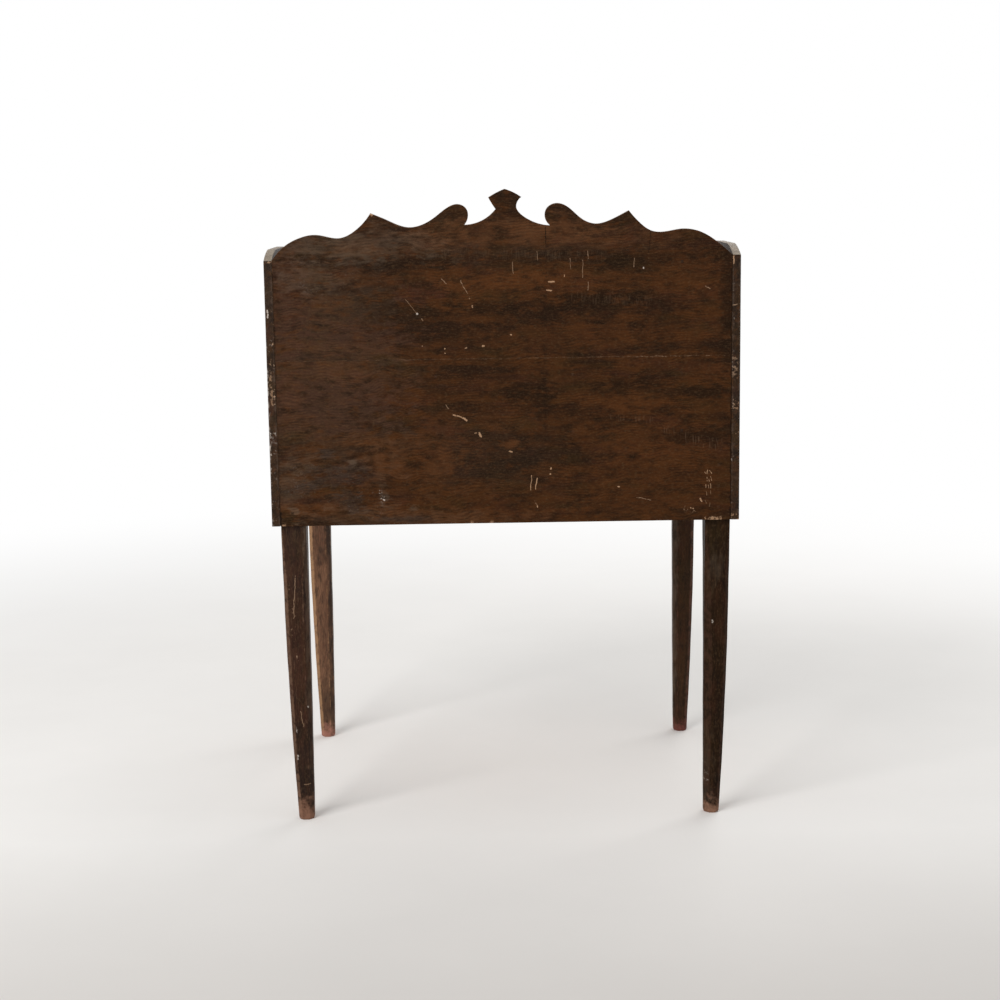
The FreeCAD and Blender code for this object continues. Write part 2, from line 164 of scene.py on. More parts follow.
class Pattern(Enum):
    """A noise in the paint: its size along and across the grain in millimetres, its detail and roughness."""

    WANDER = (130.0, 130.0, 3.0, 0.5)
    CLOUDS = (105.0, 36.0, 6.0, 0.6)
    BANDS = (330.0, 22.0, 5.0, 0.6)
    BLOTCHES = (26.0, 10.0, 4.0, 0.6)
    FADING = (45.0, 45.0, 2.0, 0.5)
    STREAKS = (20.0, 3.0, 5.0, 0.65)
    MOTTLE = (11.0, 6.0, 3.0, 0.65)
    PAINTED_GLINTS = (6.0, 2.6, 3.0, 0.7)
    GRIME = (12.0, 12.0, 5.0, 0.65)
    THIN_SCRATCHES = (75.0, 0.9, 1.0, 0.5)
    RAGGED = (13.0, 13.0, 3.0, 0.5)
    CRUMBS = (6.0, 6.0, 3.0, 0.5)
    GRIT = (4.2, 4.2, 3.0, 0.7)
    CLUMPS = (26.0, 26.0, 2.0, 0.5)


class Ramp(Enum):
    """How a pattern becomes a mask or a shade: where it starts and ends, and its values there."""

    GLAZE = (0.83, 1.17)
    RED_CLOUDS = (0.48, 0.7, 0.0, 0.5)
    OLIVE_CLOUDS = (0.48, 0.68, 0.0, 0.5)
    DARK_BLOTCHES = (0.44, 0.74, 0.0, 0.75)
    LIGHT_BLOTCHES = (0.5, 0.74, 0.0, 0.55)
    PATCH = (3.2, 2.2)
    COMBED_LINES = (0.4, 0.65, 0.08, 0.38)
    STREAKS = (0.3, 0.7, 0.88, 1.12)
    MOTTLE = (0.3, 0.7, 0.9, 1.1)
    PAINTED_GLINTS = (0.46, 0.76, 0.0, 0.32)
    RUBBED = (0.4, 0.66, 0.0, 0.8)
    THIN_SCRATCHES = (0.69, 0.75)
    FOOT = (0.72, 1.15, 0.0, 0.85)
    CHIPPED = (0.3, 0.7, 0.0, 0.9)
    MARK_WIDTH = (0.3, 0.7, 1.7, 0.6)
    WHOLE = (0.28, 0.46)
    TORN = (0.46, 0.58)
    SPECKLED = (0.92, 1.05)
    COMBED = (0.52, 0.64)
    TOP_FACE = (0.5, 0.95)
    GLOSS = (0.0, 1.0, 0.4, 0.66)
    GROWTH_RINGS = (0.36, 0.66)
    DIRT = (0.3, 0.7, 0.62, 1.1)
    FIBRE = (0.3, 0.7, 0.85, 1.1)
    HANDLED = (0.55, 1.6)
    POLISH = (0.0, 1.0, 0.34, 0.52)
    FLOOR_MOTTLE = (0.0, 1.0, 0.97, 1.03)
    FLOOR_NEAR = (0.4, 1.5)
    FLOOR_FADE = (1.1, 3.4)

    def __init__(self, start: float, end: float, low: float = 0.0, high: float = 1.0) -> None:
        """Keeps where the ramp starts and ends, and its values there."""
        self.start, self.end, self.low, self.high = start, end, low, high

    def over(self, value: Socket, high: float | None = None) -> dict[int, Socket | float]:
        """Gives a range-mapping node's inputs, with the ramp's own value at the end unless one is given."""
        return {0: value, 1: self.start, 2: self.end, 3: self.low, 4: self.high if high is None else high}


def linear(code: str) -> Colour:
    """Turns an sRGB hex value to linear RGBA.

    Args:
        code: The colour, such as "#3d2719".

    Returns:
        Linear red, green, blue, and an alpha of one.
    """
    channels = np.array([int(code[i : i + 2], 16) for i in (1, 3, 5)]) / 255
    curved = ((channels + 0.055) / 1.055) ** 2.4
    return (*np.where(channels <= 0.04045, channels / 12.92, curved).tolist(), 1.0)


def box_mm(node: str) -> np.ndarray:
    """Gives a CAD node's lowest and highest corners in millimetres, as two rows."""
    return np.array(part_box(node)) / MM


class Nodes:
    """A material's or a world's node tree."""

    def __init__(self, owner: bpy.types.Material | bpy.types.World) -> None:
        """Starts from an empty tree.

        Args:
            owner: The material or world that the nodes belong to.
        """
        self.owner = owner
        owner.use_nodes = True
        self.tree = owner.node_tree
        self.tree.nodes.clear()

    def add(
        self, kind: str, inputs: dict | None = None, out: int | str | None = 0, **settings: object
    ) -> Socket:
        """Adds a node with its settings and links.

        Args:
            kind: The node's type, without its ShaderNode prefix, and its operation after a point.
            inputs: Socket name or number to a value, or to the socket that feeds it.
            out: The output that is wanted, or None for all of them.
            settings: The node's own settings.

        Returns:
            The wanted output.
        """
        kind, *operation = kind.split(".")
        made = self.tree.nodes.new("ShaderNode" + kind)
        for name, value in [*settings.items(), *(("operation", name) for name in operation)]:
            setattr(made, name, value)
        for name, value in (inputs or {}).items():
            if isinstance(value, Socket):
                self.tree.links.new(value, made.inputs[name])
            else:
                made.inputs[name].default_value = value
        return made.outputs if out is None else made.outputs[out]


def smooth_run(knots: np.ndarray, spacing: float) -> np.ndarray:
    """Carries a smooth curve through knots in a plane.

    The curve is a cubic between each two knots, with chord length as its parameter. Its slopes are those
    that make the second derivative continuous, and the end slopes are those of a parabola through the last
    three knots.

    Args:
        knots: At least three points, one a row.
        spacing: The distance wanted between points.

    Returns:
        Points along the curve, ends included.
    """
    chord = np.concatenate([[0], np.cumsum(np.linalg.norm(np.diff(knots, axis=0), axis=1))])
    step = np.diff(chord)
    slope = np.diff(knots, axis=0) / step[:, None]
    count = len(knots)
    system = np.eye(count)
    target = np.zeros_like(knots)
    target[0] = slope[0] + (slope[0] - slope[1]) * step[0] / (step[0] + step[1])
    target[-1] = slope[-1] + (slope[-1] - slope[-2]) * step[-1] / (step[-1] + step[-2])
    inner = np.arange(1, count - 1)
    system[inner, inner - 1] = step[1:]
    system[inner, inner] = 2 * (step[:-1] + step[1:])
    system[inner, inner + 1] = step[:-1]
    target[inner] = 3 * (step[1:, None] * slope[:-1] + step[:-1, None] * slope[1:])
    tangent = np.linalg.solve(system, target)
    along = np.linspace(0, chord[-1], max(3, math.ceil(chord[-1] / spacing) + 1))
    span = np.clip(np.searchsorted(chord, along, side="right") - 1, 0, count - 2)
    share = ((along - chord[span]) / step[span])[:, None]
    reach = step[span][:, None]
    return (
        (2 * share**3 - 3 * share**2 + 1) * knots[span]
        + (share**3 - 2 * share**2 + share) * reach * tangent[span]
        + (3 * share**2 - 2 * share**3) * knots[span + 1]
        + (share**3 - share**2) * reach * tangent[span + 1]
    )


def straight_runs(corners: list[Point], spacing: float) -> list[np.ndarray]:
    """Gives evenly spaced points on the straight lines from corner to corner, ends included.

    Args:
        corners: The corners, in order.
        spacing: The distance wanted between points.

    Returns:
        Each line's points, one a row.
    """
    return [
        np.linspace(start, end, max(2, math.ceil(math.dist(start, end) / spacing) + 1))
        for start, end in zip(corners, corners[1:])
    ]


def closed_outline(runs: list[np.ndarray]) -> np.ndarray:
    """Joins runs that meet end to start into one anticlockwise outline.

    Args:
        runs: The stretches, in order.

    Returns:
        The outline's points, each once. The sign of the enclosed area says which way the runs went.
    """
    points = np.concatenate([run[:-1] for run in runs])
    after = np.roll(points, -1, axis=0)
    area = np.sum(points[:, 0] * after[:, 1] - points[:, 1] * after[:, 0])
    return points if area > 0 else points[::-1]


def rectangle(low: Point, high: Point, spacing: float) -> np.ndarray:
    """Gives the outline of a rectangle between two corners, with points about a spacing apart."""
    corners = [(low[0], low[1]), (high[0], low[1]), (high[0], high[1]), (low[0], high[1])]
    return closed_outline(straight_runs([*corners, corners[0]], spacing))


def outward(points: np.ndarray) -> np.ndarray:
    """Gives an outline's mitred outward directions.

    The direction at a point is the sum of its two edges' normals over one plus their dot product, so that a
    step along it moves both edges out by the same distance.

    Args:
        points: An anticlockwise outline.

    Returns:
        One direction a point.
    """
    edge = np.roll(points, -1, axis=0) - points
    edge /= np.linalg.norm(edge, axis=1, keepdims=True)
    after = np.stack([edge[:, 1], -edge[:, 0]], axis=1)
    before = np.roll(after, 1, axis=0)
    spread = np.maximum(1 + np.sum(after * before, axis=1, keepdims=True), MITRE_LIMIT)
    return (after + before) / spread


def ripple(places: np.ndarray, waves: tuple[float, ...], seed: int) -> np.ndarray:
    """Gives an uneven line between about -1 and 1: the mean of sines of a few wave lengths.

    Args:
        places: Where the line is wanted.
        waves: The wave lengths.
        seed: Fixes the phases.

    Returns:
        The line's heights.
    """
    phases = np.random.default_rng(seed).uniform(0, 2 * math.pi, len(waves))
    turns = 2 * math.pi * places[..., None] / np.array(waves) + phases
    return np.sin(turns).mean(axis=-1)


def loop_faces(loops: int, around: int) -> list[list[int]]:
    """Gives the four-sided faces between closed loops, and the two faces that close the ends.

    Args:
        loops: How many loops there are.
        around: How many points are on each loop.

    Returns:
        Lists of vertex numbers.
    """
    row = np.arange(loops - 1)[:, None] * around
    column = np.arange(around)[None, :]
    following = (column + 1) % around
    low, low_next = row + column, row + following
    quads = np.stack([low, low_next, low_next + around, low + around], axis=-1)
    ends = [list(range(around))[::-1], list(range((loops - 1) * around, loops * around))]
    return quads.reshape(-1, 4).tolist() + ends


@dataclass
class Skin:
    """A closed surface in millimetres.

    Attributes:
        points: The vertices, one a row.
        faces: Lists of vertex numbers.
        edge_wear: How rubbed the paint is at each vertex.
        bare: How bare the wood is there.
        sharp_degrees: From which angle an edge is sharp.
    """

    points: np.ndarray
    faces: list[list[int]]
    edge_wear: np.ndarray
    bare: np.ndarray
    sharp_degrees: float = 38.0

    def to_object(self, name: str) -> bpy.types.Object:
        """Makes a mesh object at the origin, with its faces turned outwards.

        Args:
            name: The piece's name.

        Returns:
            The new object.
        """
        mesh = bpy.data.meshes.new(name)
        mesh.from_pydata(self.points * MM, [], self.faces)
        for label, values in (("edge_wear", self.edge_wear), ("bare", self.bare)):
            attribute = mesh.attributes.new(label, "FLOAT", "POINT")
            attribute.data.foreach_set("value", values.astype(np.float32).ravel())
        shell = bmesh.new()
        shell.from_mesh(mesh)
        bmesh.ops.recalc_face_normals(shell, faces=shell.faces)
        shell.to_mesh(mesh)
        shell.free()
        mesh.shade_smooth()
        mesh.set_sharp_from_angle(angle=math.radians(self.sharp_degrees))
        piece = bpy.data.objects.new(name, mesh)
        normals = piece.modifiers.new("flat_faces", "WEIGHTED_NORMAL")
        normals.keep_sharp = True
        bpy.context.scene.collection.objects.link(piece)
        return piece


@dataclass(frozen=True)
class Nick:
    """A knocked-off bit of arris: where it is in the board's plane, how wide and how deep."""

    place: Point
    width: float
    depth: float


@dataclass
class SawnBoard:
    """A board sawn to an outline, with worn arrises and hand-planed faces.

    Attributes:
        outline: Anticlockwise points in the board's plane.
        across: The axis that the thickness lies along.
        span: Where the two faces lie on that axis.
        arris: Radius of the worn arris.
        wear: Share by which that radius wanders.
        courses: Loops between the two arrises.
        sway: How far the edge wanders out of true.
        plane_marks: How deep the hollows left by the plane are.
        pitch: Distance between the points on a face.
        rubbed: How far in from the edge the paint is rubbed.
        nicks: Knocked-off bits along the high face's arris.
        tight: A line in the plane along which the arris is a share of its radius, as axis, place, share.
        waves: Wave lengths of the wear along the edge.
        hollows: Wave lengths of the plane's hollows along and across the board.
        slants: How far the hollows slant from the board's two axes.
        hollow_ease: How far in from the rim the hollows ease off.
        half_bare: How deep a nick is that leaves the arris half bare.
        arris_points: Points over each arris.
        seed: Fixes the wear.
    """

    outline: np.ndarray
    across: Axis
    span: Point
    arris: float = 1.0
    wear: float = 0.45
    courses: int = 2
    sway: float = 0.12
    plane_marks: float = 0.12
    pitch: float = 9.0
    rubbed: float = 3.5
    nicks: tuple[Nick, ...] = ()
    tight: tuple[int, float, float] | None = None
    waves: tuple[float, ...] = (310.0, 120.0, 52.0, 23.0)
    hollows: tuple[tuple[float, ...], ...] = ((410.0, 170.0), (230.0, 83.0, 61.0))
    slants: Point = (0.3, 0.05)
    hollow_ease: float = 12.0
    half_bare: float = 0.4
    arris_points: int = 5
    seed: int = 1

    @classmethod
    def filling(
        cls, low: np.ndarray, high: np.ndarray, across: Axis, spacing: float, **sizes: object
    ) -> "SawnBoard":
        """Gives a plain board that fills a box.

        Args:
            low: The box's lowest corner.
            high: Its highest corner.
            across: The axis that the thickness lies along.
            spacing: The distance wanted between points on the outline.
            sizes: The board's other sizes.

        Returns:
            The board.
        """
        plane = [axis.value for axis in Axis if axis is not across]
        span = (low[across.value], high[across.value])
        return cls(rectangle(low[plane], high[plane], spacing), across, span, **sizes)

    def arrises(
        self, along: np.ndarray, waves: tuple[float, ...]
    ) -> tuple[np.ndarray, np.ndarray, np.ndarray]:
        """Gives the radii of the low and the high arris along the outline, and how much of a nick there is.

        Each radius is the arris times one plus an uneven line. A nick adds a bell to the high one.

        Args:
            along: Distance along the outline.
            waves: The uneven line's wave lengths.

        Returns:
            Low radii, high radii and nick depths.
        """
        low = self.arris * (1 + self.wear * ripple(along, waves, self.seed))
        high = self.arris * (1 + self.wear * ripple(along, waves, self.seed + 1))
        if self.tight:
            axis, place, share = self.tight
            held = np.where(np.abs(self.outline[:, axis] - place) < self.arris, share, 1.0)
            low, high = held * low, held * high
        chipped = np.zeros(len(self.outline))
        for nick in self.nicks:
            far = np.linalg.norm(self.outline - np.array(nick.place), axis=1) / nick.width
            chipped = np.maximum(chipped, nick.depth * np.exp(-(far**2)))
        return low, high + chipped, chipped

    def net(self, rim: np.ndarray) -> tuple[np.ndarray, np.ndarray, np.ndarray]:
        """Fills a rim with triangles: the Delaunay net of the rim and of an even grid of points inside it.

        Args:
            rim: The rim's points.

        Returns:
            The inner points, their distances from the rim, and triangles that number the rim's points first.
        """
        low, high = rim.min(axis=0), rim.max(axis=0)
        steps = [np.arange(a + self.pitch / 2, b, self.pitch) for a, b in zip(low, high)]
        grid = np.stack(np.meshgrid(*steps), axis=-1).reshape(-1, 2)
        gap = grid[:, None, :].astype(np.float32) - rim[None].astype(np.float32)
        far = np.sqrt((gap**2).sum(axis=-1).min(axis=1))
        clear = far > RIM_CLEARANCE * self.pitch
        points = np.concatenate([rim, grid[clear]])
        ring = [list(range(len(rim)))]
        found, _, faces, *_ = delaunay_2d_cdt(points.tolist(), [], ring, 1, NET_TOLERANCE)
        if len(found) != len(points):
            raise ValueError("the rim crosses itself")
        inner = np.unique(faces)
        inner = inner[inner >= len(rim)]
        renumber = np.arange(len(points))
        renumber[inner] = len(rim) + np.arange(len(inner))
        return points[inner], far[clear][inner - len(rim)], renumber[np.array(faces)]

    def skin(self) -> Skin:
        """Carries the rim's profile round the outline, and fills both faces.

        P(s, t) = C(s) - inset(s, t) N(s) in the plane, and depth(s, t) across it. C is the outline and N
        its outward direction. Over each arris, of radius r(s), inset is r times one minus a sine and depth is
        r times one minus the cosine of the same angle. A face's points sink by the plane's hollows: half of
        one minus the mean of two uneven lines, times their depth, eased to nothing at the rim.

        Returns:
            The board's closed skin.
        """
        normal = outward(self.outline)
        along = np.cumsum(np.linalg.norm(self.outline - np.roll(self.outline, 1, axis=0), axis=1))
        waves = tuple(along[-1] / max(1, round(along[-1] / wave)) for wave in self.waves)
        low, high, chipped = self.arrises(along, waves)
        angle = np.linspace(0, math.pi / 2, self.arris_points)[:, None]
        middle = np.linspace(0, 1, self.courses + 2)[1:-1, None] * np.ones(len(self.outline))
        thickness = self.span[1] - self.span[0]
        flat, deep = 1 - np.sin(angle), 1 - np.cos(angle)
        inset = np.concatenate([low * flat, 0 * middle, (high * flat)[::-1]])
        wall = low + middle * (thickness - low - high)
        depth = np.concatenate([low * deep, wall, thickness - (high * deep)[::-1]])
        inset += np.maximum(self.sway * ripple(along, waves[:3], self.seed + 2), 0)
        rim = self.outline[None] - inset[..., None] * normal[None]
        loops, around = inset.shape
        worn = np.full((loops, around), EDGE_WEAR)
        worn[1 : self.arris_points] = worn[-self.arris_points : -1] = 1.0
        bare = np.zeros((loops, around))
        bare[-self.arris_points - 1 :] = chipped / (self.half_bare + chipped)
        parts = [np.insert(rim.reshape(-1, 2), self.across.value, self.span[0] + depth.ravel(), axis=1)]
        wears, bares = [worn.ravel()], [bare.ravel()]
        faces = loop_faces(loops, around)[:-2]
        for loop, level, inward in ((0, self.span[0], 1), (loops - 1, self.span[1], -1)):
            inner, far, triangles = self.net(rim[loop])
            sunk = ripple(inner[:, 0] + self.slants[0] * inner[:, 1], self.hollows[0], self.seed + 3)
            sunk = sunk + ripple(inner[:, 1] + self.slants[1] * inner[:, 0], self.hollows[1], self.seed + 4)
            sunk = self.plane_marks * (0.5 - 0.25 * sunk) * (1 - np.exp(-far / self.hollow_ease))
            start = sum(len(part) for part in parts)
            shift = np.where(np.arange(around + len(inner)) < around, loop * around, start - around)
            faces += (triangles + shift[triangles]).tolist()
            parts.append(np.insert(inner, self.across.value, level + inward * sunk, axis=1))
            wears.append(np.exp(-far / self.rubbed))
            bares.append(0 * far)
        return Skin(np.concatenate(parts), faces, np.concatenate(wears), np.concatenate(bares))


@dataclass
class ChamferedLeg:
    """A leg that is square in the carcass, and drawn in and chamfered below it.

    Attributes:
        corner: The post's inner corner, in plan.
        signs: Which way the leg grows from that corner, on x and y.
        width: Width of the post.
        top: Height of the leg's top end.
        base: Height at which the taper starts.
        foot: Width at the foot.
        inner_share: Share of the taper that the inner faces take.
        arris: Chamfer in the carcass.
        knee_drop: How far the knee is below the carcass.
        inner_chamfers: Chamfers towards the kneehole, at the foot, half way up and at the knee.
        outer_chamfers: The same on the outer side.
        sole_wear: Height and inset of the foot's worn edge.
        sole_rows: Where its rows of points lie, as shares of that height.
        chamfer_rub_and_light: How pale the chamfers are, from rubbing and partly painted highlight, going
            round from
        the one between the outer face on x and the inner face on y.
        sway: How far the hand-planed faces wander.
        waves: Wave lengths of that.
        rows: Rows of points below the carcass and in it.
        corner_round: How far a corner is rounded off at most, and as a share of the shorter edge beside it.
        corner_pull: How far its middle point is pulled in, as a share of that.
        seed: Fixes the wandering.
    """

    corner: Point
    signs: Point
    width: float
    top: float
    base: float
    foot: float = 28.5
    inner_share: float = 0.12
    arris: float = 0.9
    knee_drop: float = 110.0
    inner_chamfers: tuple[float, float, float] = (8.0, 9.0, 9.5)
    outer_chamfers: tuple[float, float, float] = (6.0, 6.5, 6.5)
    sole_wear: Point = (5.0, 1.8)
    sole_rows: tuple[float, ...] = (0.0, 0.3, 0.65)
    chamfer_rub_and_light: tuple[float, float, float, float] = (0.3, 0.3, 0.3, 0.3)
    sway: float = 0.35
    waves: tuple[float, ...] = (430.0, 190.0, 77.0)
    rows: tuple[int, int] = (56, 8)
    corner_round: Point = (1.3, 0.3)
    corner_pull: float = 0.22
    seed: int = 1

    def section(self, height: np.ndarray) -> np.ndarray:
        """Gives the eight corners of the section at each height.

        The taper is the difference of post and foot times the square of the share of the drop below the
        carcass. The chamfers are straight-line functions of the height between the foot, half way, the knee
        and the carcass.

        Args:
            height: The heights.

        Returns:
            Points from the inner corner, by height, corner and axis.
        """
        levels = [0, 0.5 * self.base, self.base - self.knee_drop, self.base]
        inner = np.interp(height, levels, [*self.inner_chamfers, self.arris])
        outer = np.interp(height, levels, [*self.outer_chamfers, self.arris])
        taper = (self.width - self.foot) * np.maximum(0, 1 - height / self.base) ** 2
        rise, inset = self.sole_wear
        worn = inset * np.maximum(0, 1 - height / rise) ** 2
        low = self.inner_share * taper + worn
        high = self.width - (1 - self.inner_share) * taper - worn
        xs = [low + inner, high - outer, high, high, high - outer, low + inner, low, low]
        ys = [low, low, low + outer, high - outer, high, high, high - inner, low + inner]
        return np.stack([np.stack(xs, axis=1), np.stack(ys, axis=1)], axis=2)

    def skin(self) -> Skin:
        """Carries the section up the leg.

        P(u, v) walks round the section at height z(v). Each corner is three points: one on each side of it
        along the section's edges, and one between them, pulled in. Each edge has a point at its middle. The
        faces wander by a few sines of the height.

        Returns:
            The leg's closed skin.
        """
        rise = self.sole_wear[0]
        below = np.linspace(rise, self.base, self.rows[0])
        above = np.linspace(self.base, self.top, self.rows[1])[1:]
        height = np.concatenate([rise * np.array(self.sole_rows), below, above])
        section = self.section(height)
        after = np.roll(section, -1, axis=1) - section
        length = np.linalg.norm(after, axis=2, keepdims=True)
        after /= length
        before = np.roll(-after, 1, axis=1)
        shortest = np.minimum(length, np.roll(length, 1, axis=1))
        most, part = self.corner_round
        round_off = np.minimum(most, part * shortest)
        pulled = section + self.corner_pull * round_off * (before + after)
        starts, ends = section + round_off * before, section + round_off * after
        ring = np.stack([starts, pulled, ends, section + 0.5 * length * after], axis=2)
        rows = len(height)
        ring = ring.reshape(rows, -1, 2)
        wander = np.stack([ripple(height, self.waves, self.seed + axis) for axis in (0, 1)], axis=1)
        ring += self.sway * wander[:, None, :] * (height < self.base)[:, None, None]
        plan = np.array(self.corner) + ring * np.array(self.signs)
        around = ring.shape[1]
        upright = np.repeat(height, around)[:, None]
        worn = np.tile([EDGE_WEAR, 1.0, EDGE_WEAR, 0.0], around // 4)
        # A chamfer lies between two corners, from the first one's middle point to the second one's
        spots = (np.arange(5, around, 8)[:, None] + np.arange(5)) % around
        np.maximum.at(worn, spots, np.array(self.chamfer_rub_and_light)[:, None])
        worn = worn[None] * np.ones((rows, 1))
        worn[height < rise] = 1
        points = np.concatenate([plan.reshape(-1, 2), upright], axis=1)
        return Skin(points, loop_faces(rows, around), worn.ravel(), np.zeros(rows * around))


@dataclass
class TurnedKnob:
    """A turned knob on an axis along Y: collar, neck, swelling head and domed end.

    Attributes:
        centre: Where the axis meets the drawer's face.
        radius: The head's radius.
        projection: How far it stands out.
        collar: The collar's profile, as shares of the radius and of the projection.
        swell: The profile from the collar to the rim, in the same shares.
        spacing: Distance between points on the swell, as a share.
        around: Points round the knob.
        dome_points: Points from the rim to the middle of the end.
        pole: Angle of the small flat at the middle of the end.
        wear: How rubbed the knob is, by the share of the projection.
    """

    centre: np.ndarray
    radius: float
    projection: float
    collar: tuple[Point, ...] = ((0.60, -0.02), (0.68, 0.0), (0.72, 0.02), (0.72, 0.095), (0.69, 0.125))
    swell: tuple[Point, ...] = (
        (0.63, 0.135), (0.525, 0.24), (0.52, 0.34), (0.63, 0.45), (0.80, 0.55), (0.97, 0.66), (1.0, 0.74),
    )
    spacing: float = 0.04
    around: int = 48
    dome_points: int = 9
    pole: float = 0.02
    wear: tuple[Point, ...] = ((0.1, 0.2), (0.62, 0.3), (0.74, 1.0), (0.9, 0.6), (1.0, 0.5))

    def skin(self) -> Skin:
        """Turns the profile round the axis.

        P(u, v) = centre + r(v) (cos u, 0, sin u) - out(v) along Y. The profile is straight up the collar,
        smooth through the neck and the swell to the rim, and then the arc of a sphere to the middle of the
        end. The sphere's radius is the sum of the squares of the knob's radius and of the dome's height, over
        twice that height.

        Returns:
            The knob's closed skin.
        """
        height = (1 - self.swell[-1][1]) * self.projection
        ball = (self.radius**2 + height**2) / (2 * height)
        angle = np.linspace(math.asin(self.radius / ball), self.pole, self.dome_points)[1:]
        rise = 1 - ball * (1 - np.cos(angle)) / self.projection
        dome = np.stack([ball * np.sin(angle) / self.radius, rise], axis=1)
        profile = np.concatenate([self.collar, smooth_run(np.array(self.swell), self.spacing), dome])
        turn = np.linspace(0, 2 * math.pi, self.around, endpoint=False)
        radius = self.radius * profile[:, :1]
        out = self.projection * profile[:, 1:] + 0 * turn
        ring = np.stack([radius * np.cos(turn), -out, radius * np.sin(turn)], axis=-1)
        wear = np.repeat(np.interp(profile[:, 1], *np.transpose(self.wear)), self.around)
        points = (self.centre + ring).reshape(-1, 3)
        return Skin(points, loop_faces(len(profile), self.around), wear, 0 * wear)


@dataclass(frozen=True)
class Patch:
    """A cloudy place in the paint, some standing for painted light and shade: its tone, middle and half sizes
    on the face's two axes, and strength.
    """

    tone: Tone
    place: Point
    half: Point
    strength: float

    @classmethod
    def group(cls, tone: Tone, *rows: tuple[float, ...]) -> tuple["Patch", ...]:
        """Gives patches of one tone, each from a row of its middle, half sizes and strength."""
        return tuple(cls(tone, row[:2], row[2:4], row[4]) for row in rows)


@dataclass(frozen=True)
class Mark:
    """A chip, scratch or crack: a line on the face's two axes, its width, break-up and strength."""

    kind: MarkKind
    start: Point
    end: Point
    width: float
    broken: BreakUp = BreakUp.WHOLE
    strength: float = 0.85

    @classmethod
    def group(cls, kind: MarkKind, broken: BreakUp, *rows: tuple[float, ...]) -> tuple["Mark", ...]:
        """Gives marks of one kind, each from a row of its ends, width and, if it isn't 0.85, strength."""
        return tuple(cls(kind, row[:2], row[2:4], row[4], broken, *row[5:]) for row in rows)


@dataclass(frozen=True)
class GrainedPaint:
    """Oil-painted graining under old varnish, on softwood.

    A dark umber ground with a warmer glaze dragged over it: cloudy bands a hand wide, small blotches, and
    wavy combed lines a few millimetres apart. Rubbed arrises show lighter paint, and top faces hold dust and
    painted sheen.

    Attributes:
        name: The material's name.
        grain: The axis that the graining runs along.
        ground: The darkest paint.
        glaze: The warm paint over it.
        worn: What a rubbed arris shows.
        foot: What a rubbed foot shows.
        flecks: What the small light blotches show.
        shine: The varnish's specular level.
        dust_and_sheen: How much dust and painted sheen lie on top faces.
        scratched: How strongly scratches along the grain show.
        foot_height: How far up from the floor the paint is rubbed.
        patches: Cloudy places on the face, some of them painted light and shade.
        marks: Chips, scratches and cracks on the face.
        face: The two axes that places on the face are given on.
        reach: How far forward the patches and marks reach, on y, or None for all the way.
        bare_from: Where the paint stops on y, with bare wood behind it, or None where it covers the piece.
        wander_width: How far the grain wanders, from side to side.
        waver: How far the combed lines waver.
        comb_size: How long a combed line's bend is, and how far apart the lines are.
        ragged_width: How far a mark's outline strays, from side to side.
        tick_size: How far apart combed ticks are, and how tall.
        patch_break: How much noise breaks up a patch's outline.
        relief: How deep the paint's relief is.
    """

    name: str
    grain: Axis
    ground: str = "#241409"
    glaze: str = "#41240e"
    worn: str = "#5a3d26"
    foot: str = "#5e3e2f"
    flecks: str = Tone.WARM.value
    shine: float = 0.1
    dust_and_sheen: float = 0.3
    scratched: float = 0.0
    foot_height: float = 0.0
    patches: tuple[Patch, ...] = ()
    marks: tuple[Mark, ...] = ()
    face: tuple[Axis, Axis] = (Axis.X, Axis.Z)
    reach: float | None = None
    bare_from: float | None = None
    wander_width: float = 22.0
    waver: float = 16.0
    comb_size: Point = (90.0, 5.2)
    ragged_width: float = 6.0
    tick_size: Point = (2.4, 20.0)
    patch_break: float = 3.5
    relief: float = 0.4

    def build(self) -> bpy.types.Material:
        """Builds the material."""
        return PaintLayers(self).build()


